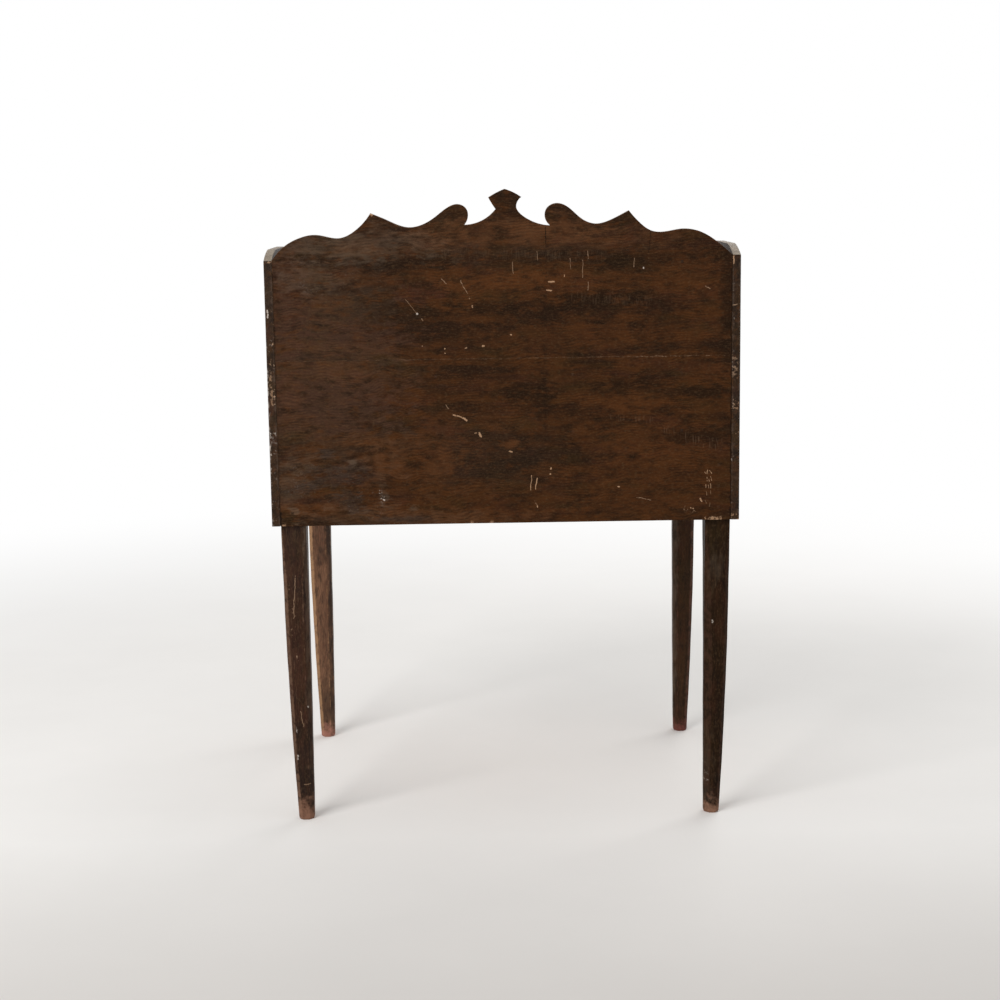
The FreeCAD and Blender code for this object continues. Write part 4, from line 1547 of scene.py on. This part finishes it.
    def build(self) -> None:
        """Makes and dresses both boards."""
        low, high = box_mm("back_board_upper")
        paint = GrainedPaint(
            "grained_paint_back", Axis.X, ground="#231308", glaze="#3f230d", shine=0.05,
            patches=self.patches, marks=self.marks, reach=high[1] - self.paint_depth,
        ).build()
        span = (low[1], high[1] - self.proud)
        sizes = {"nicks": self.crest_nicks, "tight": (1, low[2], self.joint_arris), "seed": 11}
        upper = SawnBoard(self.upper_outline(), Axis.Y, span, **sizes)
        self.shop.fit("back_upper_board", upper.skin(), paint, "back_board_upper")
        low, high = box_mm("back_board_lower")
        high[1] -= self.proud
        sizes = {"nicks": self.lower_nicks, "tight": (1, high[2], self.joint_arris), "seed": 15}
        lower = SawnBoard.filling(low, high, Axis.Y, self.lower_spacing, **sizes)
        self.shop.fit("back_lower_board", lower.skin(), paint, "back_board_lower")


@dataclass
class SideBoards(SubAssembly):
    """The two shaped side boards.

    Attributes:
        peak: How far in from the back corner the top is highest, and how far it rises.
        spacing: Distance between points on the outline.
        mark_depth: How far forward of the back edge the marks reach.
        marks: Chips and scratches on the back edges: ends, width and strength.
        rise: The rise from the back corner, as shares of the peak's run and rise.
        sweep: The wing's sweep down to the writing board, as shares of its depth and height.
    """

    peak: Point = (78.0, 18.0)
    spacing: float = 3.0
    mark_depth: float = 5.0
    marks: tuple[Mark, ...] = (
        *Mark.group(
            MarkKind.CHIP, BreakUp.SPECKLED,
            (412, 1036, 412, 870, 5.0), (418, 870, 416, 795, 15.0), (-415, 822, -414, 792, 11.0, 0.7),
            (-417, 790, -417, 715, 18.0, 0.5),
        ),
        *Mark.group(
            MarkKind.PALE, BreakUp.SPECKLED,
            (418, 880, 416, 745, 20.0, 0.5), (421, 1035, 421, 570, 16.0, 0.28),
            (424.5, 1030, 424.5, 600, 5.0, 0.8), (-411, 1040, -411, 570, 4.0, 0.3),
        ),
        *Mark.group(MarkKind.PALE, BreakUp.WHOLE, (424, 712, 424, 710, 3.4), (-411, 678, -411, 676, 2.4)),
        *Mark.group(
            MarkKind.PALE, BreakUp.TORN,
            (420, 957, 420, 942, 3.4), (424, 865, 423.5, 640, 3.4, 0.5),
        ),
        *Mark.group(
            MarkKind.CHIP, BreakUp.TORN,
            (419, 870, 417, 790, 5.0, 0.45), (411, 1044, 423, 1042, 5.0, 0.6),
            (-415, 572, -424, 570, 12.0, 0.7),
        ),
        *Mark.group(MarkKind.CHIP, BreakUp.WHOLE, (-412, 1043, -412, 1030, 3.4)),
        *Mark.group(MarkKind.SCRATCH, BreakUp.TORN, (-415, 864, -417, 826, 13.0, 0.6)),
        *Mark.group(MarkKind.SCRATCH, BreakUp.WHOLE, (-411, 956, -418, 957, 2.4)),
    )
    rise: tuple[Point, ...] = ((0.0, 0.0), (0.5, 0.66), (1.0, 1.0))
    sweep: tuple[Point, ...] = (
        (0.0, 1.0), (0.075, 0.960), (0.122, 0.850), (0.140, 0.665), (0.188, 0.433),
        (0.315, 0.262), (0.524, 0.196), (0.733, 0.158), (0.864, 0.088), (0.916, 0.0),
    )

    def outline(self, low: np.ndarray, high: np.ndarray) -> np.ndarray:
        """Gives a side board's outline on y and z.

        Args:
            low: The board's lowest corner.
            high: Its highest corner.

        Returns:
            The outline's points.
        """
        writing = box_mm("writing_board")[1][2]
        stage_front = box_mm("top_shelf")[0][1]
        run, lift = self.peak
        rise = np.array(self.rise) * [-run, lift] + [high[1], high[2] - lift]
        sweep = np.array(self.sweep) * [low[1] - stage_front, high[2] - writing] + [stage_front, writing]
        corners = [sweep[-1], (low[1], writing), (low[1], low[2]), (high[1], low[2]), rise[0]]
        runs = [smooth_run(rise, self.spacing), *straight_runs([rise[-1], sweep[0]], self.spacing)]
        runs += [smooth_run(sweep, self.spacing), *straight_runs(corners, self.spacing)]
        return closed_outline(runs)

    def build(self) -> None:
        """Makes and dresses both boards."""
        # The side tops' pale grey is dust and painted sheen of light grazing them
        paint = GrainedPaint(
            "grained_paint_sides", Axis.Y, ground="#1d120b", glaze="#33200f", worn="#45362c", dust_and_sheen=0.75,
            scratched=0.2, marks=self.marks, reach=box_mm("side_board_left")[1][1] - self.mark_depth,
        ).build()
        for side in Side:
            node = f"side_board_{side.name.lower()}"
            low, high = box_mm(node)
            seed = 20 + side.value
            span = (low[0], high[0])
            board = SawnBoard(self.outline(low, high), Axis.X, span, arris=1.3, courses=3, seed=seed)
            self.shop.fit(f"side_{side.name.lower()}", board.skin(), paint, node)


@dataclass(frozen=True)
class LegFinish:
    """One leg's place, paint, chamfers towards the kneehole, and how pale its four chamfers are, from rubbing
    and painted highlight.
    """

    place: str
    paint: GrainedPaint
    inner_chamfers: tuple[float, float, float] = (8.0, 9.0, 9.5)
    chamfer_rub_and_light: tuple[float, float, float, float] = (0.3, 0.3, 0.3, 0.3)


@dataclass
class Legs(SubAssembly):
    """The four tapered legs. Each has been knocked and rubbed in its own way; the front right one is also
    painted paler as window light, with painted shade on its inner chamfer.

    Attributes:
        finishes: Each leg's finish.
    """

    finishes: tuple[LegFinish, ...] = (
        LegFinish(
            "back_right",
            GrainedPaint(
                "grained_paint_leg_back_right", Axis.Z, ground="#1f120c", glaze="#352117", worn="#5f4636",
                foot="#84604d", flecks="#3b2517", shine=0.1, scratched=0.3, foot_height=85,
                patches=(
                    # Painted reflection: a pale strip down the inner chamfer, where the bright wall shows in
                    # it
                    *Patch.group(Tone.BLOOM, (366, 390, 5, 210, 0.6)),
                    *Patch.group(Tone.RED, (384, 330, 30, 140, 0.4)),
                ),
                marks=(
                    *Mark.group(
                        MarkKind.SCRATCH, BreakUp.WHOLE,
                        (387, 471, 393, 391, 1.8, 0.65), (386, 213, 381, 184, 1.8, 0.6),
                        (383, 71, 372, 71, 1.8, 0.6),
                    ),
                    *Mark.group(
                        MarkKind.SCRATCH, BreakUp.TORN,
                        (399, 459, 399, 447, 3.0, 0.6), (390, 324, 388, 311, 3.4, 0.8),
                    ),
                    *Mark.group(MarkKind.SCRATCH, BreakUp.SPECKLED, (395, 420, 395, 350, 9.0, 0.7)),
                    *Mark.group(MarkKind.PALE, BreakUp.WHOLE, (371, 222, 371, 220, 3.2)),
                    *Mark.group(
                        MarkKind.PALE, BreakUp.TORN,
                        (394, 186, 394, 171, 2.4, 0.7), (393, 128, 393, 120, 3.0, 0.7),
                    ),
                ),
            ),
            chamfer_rub_and_light=(0.5, 1.15, 0.6, 0.3),
        ),
        LegFinish(
            "back_left",
            GrainedPaint(
                "grained_paint_leg_back_left", Axis.Z, ground="#140b06", glaze="#221408", worn="#3a261b",
                foot="#8c6854", flecks="#2c1b0e", shine=0.05, scratched=0.12, foot_height=60,
                patches=Patch.group(Tone.BLOOM, (-385, 475, 13, 30, 0.2), (-369, 90, 14, 70, 0.2)),
                marks=(
                    *Mark.group(MarkKind.PALE, BreakUp.TORN, (-378, 376, -379, 372, 3.6, 0.8)),
                    *Mark.group(
                        MarkKind.PALE, BreakUp.SPECKLED,
                        (-368, 143, -371, 124, 10.0, 0.7), (-368, 124, -368, 20, 14.0, 0.4),
                    ),
                ),
            ),
            inner_chamfers=(9.0, 14.0, 9.5),
            chamfer_rub_and_light=(0.3, 1.1, 1.0, 0.3),
        ),
        # Painted light: this leg's paler ground, glaze and worn colour, and the pale patch over its back
        # half, stand in for window light on it
        LegFinish(
            "front_right",
            GrainedPaint(
                "grained_paint_leg_front_right", Axis.Z, ground="#2b1b11", glaze="#4b3120", worn="#94704f",
                foot="#9c6a5c", flecks="#4a2f1c", shine=0.2, scratched=0.3, foot_height=50, reach=-270,
                patches=(
                    *Patch.group(Tone.FADED_AND_LIT, (388, 300, 60, 400, 0.85)),
                    *Patch.group(Tone.RED, (382, 440, 20, 60, 0.5), (376, 250, 14, 90, 0.45)),
                    # Painted shade: the narrow dark strip at x 364 lies on the inner chamfer, away from the
                    # light
                    *Patch.group(Tone.DARK, (380, 75, 24, 40, 0.55), (364, 300, 7, 320, 0.8)),
                ),
            ),
            # Partly painted highlight: the lit outer chamfer is rubbed palest, and the shaded inner one not
            # at all
            chamfer_rub_and_light=(1.3, 0.6, 0.3, 0.0),
        ),
        LegFinish(
            "front_left",
            GrainedPaint(
                "grained_paint_leg_front_left", Axis.Z, ground="#20130a", glaze="#35200f", worn="#56372a",
                foot="#74423a", flecks="#3c2413", shine=0.1, scratched=0.12, foot_height=50,
                patches=Patch.group(Tone.BLOOM, (-367, 330, 7, 280, 0.5)),
            ),
            chamfer_rub_and_light=(1.1, 0.6, 0.3, 0.3),
        ),
    )

    def build(self) -> None:
        """Makes and dresses the legs. The inner corner of each stays upright."""
        base = box_mm("side_board_left")[0][2]
        for number, finish in enumerate(self.finishes):
            node = f"leg_{finish.place}"
            low, high = box_mm(node)
            ends = np.array([low, high])
            outer_x = int("right" in finish.place)
            outer_y = int("back" in finish.place)
            leg = ChamferedLeg(
                (ends[1 - outer_x][0], ends[1 - outer_y][1]), (2 * outer_x - 1, 2 * outer_y - 1),
                high[0] - low[0], high[2], base, inner_chamfers=finish.inner_chamfers,
                chamfer_rub_and_light=finish.chamfer_rub_and_light, seed=30 + 3 * number,
            )
            self.shop.fit(f"tapered_leg_{finish.place}", leg.skin(), finish.paint.build(), node)


@dataclass
class FlatBoards(SubAssembly):
    """The plain boards: writing board, nosing, rails, shelves and drawer dividers.

    Attributes:
        spacing: Distance between points on a board's outline.
        nosing_round: How far back the nosing's rounded front reaches.
        nosing_spacing: Distance between points on its straight sides and on its rounded front.
        nosing_knots: How many knots carry the rounded front.
        setback: How far rails and dividers stand back from the legs and shelves that they join.
        writing_patches: Rubbed and stained places on the writing board, and darker strips along its back edge
            and its two ends, on x and y.
        scrapes: Scratches and ink spots on it.
    """

    spacing: float = 4.0
    nosing_round: float = 8.0
    nosing_spacing: Point = (2.0, 0.8)
    nosing_knots: int = 13
    setback: float = 0.4
    writing_patches: tuple[Patch, ...] = (
        *Patch.group(Tone.FADED_AND_LIT, (-30, -170, 230, 75, 0.5)),
        *Patch.group(Tone.BLOOM, (70, -215, 160, 35, 0.35)),
        *Patch.group(Tone.FADED_AND_LIT, (250, -120, 70, 40, 0.5)),
        *Patch.group(
            # Darker strips along the back edge and both ends, and one small dark place
            Tone.DARK,
            (0, 62, 380, 26, 0.8), (-390, -60, 22, 170, 0.7), (390, -60, 20, 170, 0.7),
            (214, -30, 34, 22, 0.7),
        ),
        *Patch.group(Tone.RED, (-220, -40, 110, 40, 0.6)),
    )
    scrapes: tuple[Mark, ...] = (
        *Mark.group(
            MarkKind.SCRATCH, BreakUp.TORN,
            (-150, -210, -40, -180, 2.6, 0.75), (20, -60, 48, -130, 2.2, 0.7),
            (300, -250, 180, -262, 2.6, 0.7), (-300, -90, -250, -190, 2.0, 0.6),
        ),
        *Mark.group(
            MarkKind.SCRATCH, BreakUp.WHOLE,
            (-130, -225, -60, -204, 1.8, 0.6), (90, -120, 160, -170, 2.2, 0.7),
        ),
        *Mark.group(
            MarkKind.CRACK, BreakUp.WHOLE,
            (212, -44, 220, -38, 15.0, 0.8), (236, -22, 238, -24, 8.0, 0.7), (196, -60, 197, -61, 5.0, 0.7),
        ),
        *Mark.group(MarkKind.PALE, BreakUp.SPECKLED, (-240, -240, -190, -236, 12.0, 0.4)),
        *Mark.group(MarkKind.CHIP, BreakUp.SPECKLED, (-90, -284, 60, -286, 6.0, 0.5)),
    )

    def build(self) -> None:
        """Makes and dresses the boards, with the graining along each."""
        writing = GrainedPaint(
            "grained_paint_writing_board", Axis.X, glaze="#4c2d14", dust_and_sheen=0.06, patches=self.writing_patches,
            marks=self.scrapes, face=(Axis.X, Axis.Y),
        ).build()
        along = GrainedPaint("grained_paint_boards", Axis.X, glaze="#4c2d14", dust_and_sheen=0.12).build()
        upright = GrainedPaint("grained_paint_uprights", Axis.Z).build()
        plain = (
            ("writing_board", Axis.Z, writing, 1.0, 40),
            ("middle_shelf", Axis.Z, along, 1.0, 43),
            ("top_shelf", Axis.Z, along, 1.0, 46),
            ("frieze_rail_top", Axis.Y, along, 1.0, 50),
            ("frieze_rail_bottom", Axis.Y, along, 1.0, 53),
            ("drawer_divider_1", Axis.X, upright, 0.8, 60),
            ("drawer_divider_2", Axis.X, upright, 0.8, 63),
        )
        for node, across, paint, arris, seed in plain:
            low, high = box_mm(node)
            if across is not Axis.Z:
                low[1] += self.setback
            board = SawnBoard.filling(low, high, across, self.spacing, arris=arris, seed=seed)
            self.shop.fit(f"{node}_planed", board.skin(), paint, node)
        low, high = box_mm("writing_board_nosing")
        front = low[1] + self.nosing_round
        corners = [(front, high[2]), (high[1], high[2]), (high[1], low[2]), (front, low[2])]
        top, *edges = straight_runs(corners, self.nosing_spacing[0])
        runs = [*edges, smooth_run(self.nose(low, high), self.nosing_spacing[1]), top]
        sizes = {"arris": 1.1, "courses": 120, "sway": 0.25, "seed": 70}
        nosing = SawnBoard(closed_outline(runs), Axis.X, (low[0], high[0]), **sizes)
        self.shop.fit("nosing_rounded", nosing.skin(), along, "writing_board_nosing")

    def nose(self, low: np.ndarray, high: np.ndarray) -> np.ndarray:
        """Gives the nosing's rounded front on y and z: a half ellipse, its angle from under to over.

        Args:
            low: The nosing's lowest corner.
            high: Its highest corner.

        Returns:
            The half ellipse's points.
        """
        angle = np.linspace(-math.pi / 2, math.pi / 2, self.nosing_knots)
        middle = (low[2] + high[2]) / 2
        front = low[1] + self.nosing_round * (1 - np.cos(angle))
        return np.stack([front, middle + (high[2] - middle) * np.sin(angle)], axis=1)


@dataclass
class PigeonholeDividers(SubAssembly):
    """The thin uprights with a hollowed front edge.

    Attributes:
        flat: Share of the height that stays straight at each end.
        hollow: How deep the front edge is hollowed.
        housed: How far each end is housed.
        spacing: Distance between points on the straight edges.
        arc_points: Points on the hollow.
    """

    flat: float = 0.14
    hollow: float = 34.0
    housed: float = 3.0
    spacing: float = 4.0
    arc_points: int = 41

    def build(self) -> None:
        """Makes and dresses the uprights."""
        paint = GrainedPaint("grained_paint_dividers", Axis.Z).build()
        nodes = sorted(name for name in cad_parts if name.startswith("pigeonhole_divider"))
        for number, node in enumerate(nodes):
            low, high = box_mm(node)
            span = (low[0], high[0])
            board = SawnBoard(self.outline(low, high), Axis.X, span, arris=0.9, seed=80 + 3 * number)
            self.shop.fit(f"{node}_hollowed", board.skin(), paint, node)

    def outline(self, low: np.ndarray, high: np.ndarray) -> np.ndarray:
        """Gives an upright's outline on y and z, with a circular arc in its front edge.

        The arc goes through the two ends of the hollow and its deepest point: its radius is the sum of the
        squares of half its chord and of its depth, over twice its depth.

        Args:
            low: The upright's lowest corner.
            high: Its highest corner.

        Returns:
            The outline's points.
        """
        clear = high[2] - low[2] - 2 * self.housed
        start = low[2] + self.housed + self.flat * clear
        end = high[2] - self.housed - self.flat * clear
        half = (end - start) / 2
        radius = (half**2 + self.hollow**2) / (2 * self.hollow)
        turn = math.asin(half / radius)
        angle = np.linspace(turn, -turn, self.arc_points)
        deep = low[1] + self.hollow - radius * (1 - np.cos(angle))
        arc = np.stack([deep, (start + end) / 2 + radius * np.sin(angle)], axis=1)
        corners = [arc[-1], low[1:], (high[1], low[2]), high[1:], (low[1], high[2]), arc[0]]
        return closed_outline([arc, *straight_runs(corners, self.spacing)])


@dataclass
class Drawers(SubAssembly):
    """The four drawers: painted fronts, bare linings and turned knobs.

    Attributes:
        paint_edge: How far round a front's edges the paint goes.
    """

    paint_edge: float = 1.5

    def build(self) -> None:
        """Dresses the drawers' boards and makes their knobs."""
        side = AgedPine("aged_pine_drawer_sides", Axis.Y).build()
        cross = AgedPine("aged_pine_drawer_backs", Axis.X).build()
        wood = TurnedFruitwood().build()
        finishes = {"side_left": side, "side_right": side, "back": cross, "bottom": cross}
        for body in list(Body)[1:]:
            bare_from = box_mm(f"{body.value}_front")[0][1] + self.paint_edge
            face = GrainedPaint(f"grained_paint_{body.value}", Axis.X, glaze="#4f2f15", bare_from=bare_from)
            self.shop.dress(f"{body.value}_front", face.build())
            for part, finish in finishes.items():
                self.shop.dress(f"{body.value}_{part}", finish)
        knobs = {f"small_knob_{number}": Body(f"small_drawer_{number}") for number in (1, 2, 3)}
        knobs |= {f"frieze_knob_{side.name.lower()}": Body.FRIEZE_DRAWER for side in Side}
        for node, body in knobs.items():
            low, high = box_mm(node)
            face_y = box_mm(f"{body.value}_front")[0][1]
            centre = np.array([(low[0] + high[0]) / 2, face_y, (low[2] + high[2]) / 2])
            knob = TurnedKnob(centre, (high[0] - low[0]) / 2, face_y - low[1])
            self.shop.fit(f"{node}_turned", knob.skin(), wood, node, body, Slot.KNOB_WOOD)


@dataclass
class HiddenTimber(SubAssembly):
    """What carries and guides the wide drawer, and the nails.

    Attributes:
        frame_arris: Width of the frame's softened arrises.
        nail_arris: Width of the nails' softened arrises.
    """

    frame_arris: float = 1.0
    nail_arris: float = 0.3

    def build(self) -> None:
        """Dresses the CAD nodes of the frame inside the apron, and the painted-over nail heads."""
        pine = AgedPine("aged_pine_frame", Axis.Y, early="#94683f", late="#6a4427", ring=11).build()
        for kind in ("runner", "guide", "kicker"):
            for side in Side:
                self.shop.dress(f"drawer_{kind}_{side.name.lower()}", pine, self.frame_arris)
        self.shop.dress("drawer_stops", pine)
        heads = GrainedPaint("grained_paint_nail_heads", Axis.X).build()
        for node in ("back_nails", "side_nails"):
            self.shop.dress(node, heads, self.nail_arris)


@dataclass(frozen=True)
class Lamp:
    """A square soft lamp: its name, its place in metres, its power in watts and its side in metres."""

    name: str
    place: tuple[float, float, float]
    power: float
    size: float

    def hang(self, aim: tuple[float, float, float]) -> None:
        """Hangs the lamp.

        Args:
            aim: The place that it looks at, in metres.
        """
        data = bpy.data.lights.new(self.name, "AREA")
        data.energy = self.power
        data.size = self.size
        lamp = bpy.data.objects.new(self.name, data)
        turn = (Vector(aim) - Vector(self.place)).to_track_quat("-Z", "Y").to_matrix().to_4x4()
        lamp.matrix_world = Matrix.Translation(self.place) @ turn
        bpy.context.scene.collection.objects.link(lamp)


@dataclass
class Studio:
    """A plain pale floor, soft light and a camera at the photograph's angle.

    Attributes:
        eye: The camera's place.
        heading: Turn of the camera from looking along -Y, in degrees.
        pitch: How far it looks down, in degrees.
        roll: Its tilt, in degrees.
        focal: Focal length in pixels of a picture a thousand wide.
        picture: The picture's width in pixels.
        sensor: The sensor's width.
        far_clip: How far the camera sees, in metres.
        floor_half: Half the floor's width, in metres.
        floor_cells: How many faces the floor has across.
        floor_tone: The floor's colour round the desk.
        near_floor_tone: Its darker colour towards the camera, painted shade.
        lamps: The soft lamps.
        aim: The desk's middle, which the lamps look at, in metres.
        sky: How strongly the room lights the desk.
    """

    eye: tuple[float, float, float] = (53.8, 3722.5, 1178.0)
    heading: float = 0.733
    pitch: float = 9.50
    roll: float = -0.762
    focal: float = 1900.0
    picture: float = 1000.0
    sensor: float = 36.0
    far_clip: float = 100.0
    floor_half: float = 9.0
    floor_cells: int = 40
    floor_tone: str = "#f6f4f1"
    near_floor_tone: str = "#c4bfba"
    lamps: tuple[Lamp, ...] = (
        Lamp("key", (2.6, 3.4, 2.6), 130, 2.4),
        Lamp("fill", (-2.4, -3.4, 3.0), 80, 3.4),
    )
    aim: tuple[float, float, float] = (0.0, 0.0, 0.6)
    sky: float = 0.55

    def camera(self) -> None:
        """Places the camera: turned about the vertical, then tipped down, then rolled."""
        data = bpy.data.cameras.new("camera")
        data.sensor_width = self.sensor
        data.lens = self.focal / self.picture * self.sensor
        data.clip_end = self.far_clip
        camera = bpy.data.objects.new("camera", data)
        turn = Matrix.Rotation(math.pi - math.radians(self.heading), 4, "Z")
        tip = Matrix.Rotation(math.pi / 2 - math.radians(self.pitch), 4, "X")
        roll = Matrix.Rotation(math.radians(self.roll), 4, "Z")
        camera.matrix_world = Matrix.Translation(Vector(self.eye) * MM) @ turn @ tip @ roll
        bpy.context.scene.collection.objects.link(camera)
        bpy.context.scene.camera = camera

    def floor_finish(self) -> bpy.types.Material:
        """Builds the floor's finish: pale and matt by the desk, darker towards the camera as painted shade,
        and white away from it.

        Returns:
            The finished material.
        """
        nodes = Nodes(bpy.data.materials.new("pale_limewashed_floor"))
        place = nodes.add("TexCoord", out="Object")
        mottle = nodes.add("TexNoise", {"Vector": place, "Scale": 3.0, "Detail": 6.0, "Roughness": 0.6})
        shade = nodes.add("MapRange", Ramp.FLOOR_MOTTLE.over(mottle))
        # Painted shade: the floor darkens towards the camera
        toward = nodes.add("SeparateXYZ", {"Vector": place}, "Y")
        toward = nodes.add("MapRange", Ramp.FLOOR_NEAR.over(toward))
        tones = {6: linear(self.floor_tone), 7: linear(self.near_floor_tone)}
        colour = nodes.add("Mix", {0: toward, **tones}, 2, **RGBA)
        colour = nodes.add("VectorMath.SCALE", {0: colour, "Scale": shade})
        matt = nodes.add("BsdfDiffuse", {"Color": colour})
        white = nodes.add("Emission", {"Color": WHITE, "Strength": 1.0})
        far = nodes.add("VectorMath.LENGTH", {0: place}, "Value")
        fade = nodes.add("MapRange", Ramp.FLOOR_FADE.over(far), **EASE)
        surface = nodes.add("MixShader", {0: fade, 1: matt, 2: white})
        nodes.add("OutputMaterial", {"Surface": surface}, None)
        return nodes.owner

    def floor(self) -> None:
        """Lays a flat floor, an even grid of square faces."""
        cells = self.floor_cells
        share = np.linspace(-1, 1, cells + 1)
        u, v = np.meshgrid(share, share)
        points = np.stack([u, v, 0 * u], axis=-1).reshape(-1, 3) * self.floor_half
        row = np.arange(cells)[:, None] * (cells + 1) + np.arange(cells)[None]
        quads = np.stack([row, row + 1, row + cells + 2, row + cells + 1], axis=-1).reshape(-1, 4)
        mesh = bpy.data.meshes.new("floor")
        mesh.from_pydata(points, [], quads.tolist())
        mesh.materials.append(self.floor_finish())
        floor = bpy.data.objects.new("floor", mesh)
        bpy.context.scene.collection.objects.link(floor)

    def sky_light(self) -> None:
        """Lights the room evenly. The camera and mirror-like surfaces see it as white."""
        world = bpy.data.worlds.new("room")
        bpy.context.scene.world = world
        nodes = Nodes(world)
        seen = 0.0
        for ray in ("Is Camera Ray", "Is Glossy Ray", "Is Transmission Ray"):
            path = nodes.add("LightPath", out=ray)
            seen = nodes.add("Math.MAXIMUM", {0: seen, 1: path})
        strength = nodes.add("MapRange", {0: seen, 3: self.sky, 4: 1.0})
        light = nodes.add("Background", {"Color": WHITE, "Strength": strength})
        nodes.add("OutputWorld", {"Surface": light}, None)

    def build(self) -> None:
        """Sets up the camera, floor, lamps and room light."""
        self.camera()
        self.floor()
        self.sky_light()
        for lamp in self.lamps:
            lamp.hang(self.aim)
        bpy.context.scene.view_settings.view_transform = "Standard"


def main() -> None:
    """Builds the desk's looks and the studio."""
    logging.basicConfig(level=logging.INFO, format="%(name)s: %(message)s")
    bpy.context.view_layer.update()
    shop = Workshop()
    for part in (ScrollBack, SideBoards, Legs, FlatBoards, PigeonholeDividers, Drawers, HiddenTimber):
        part(shop).build()
    Studio().build()
    LOG.info("%d pieces dressed", shop.made)


if __name__ == "__main__":
    main()
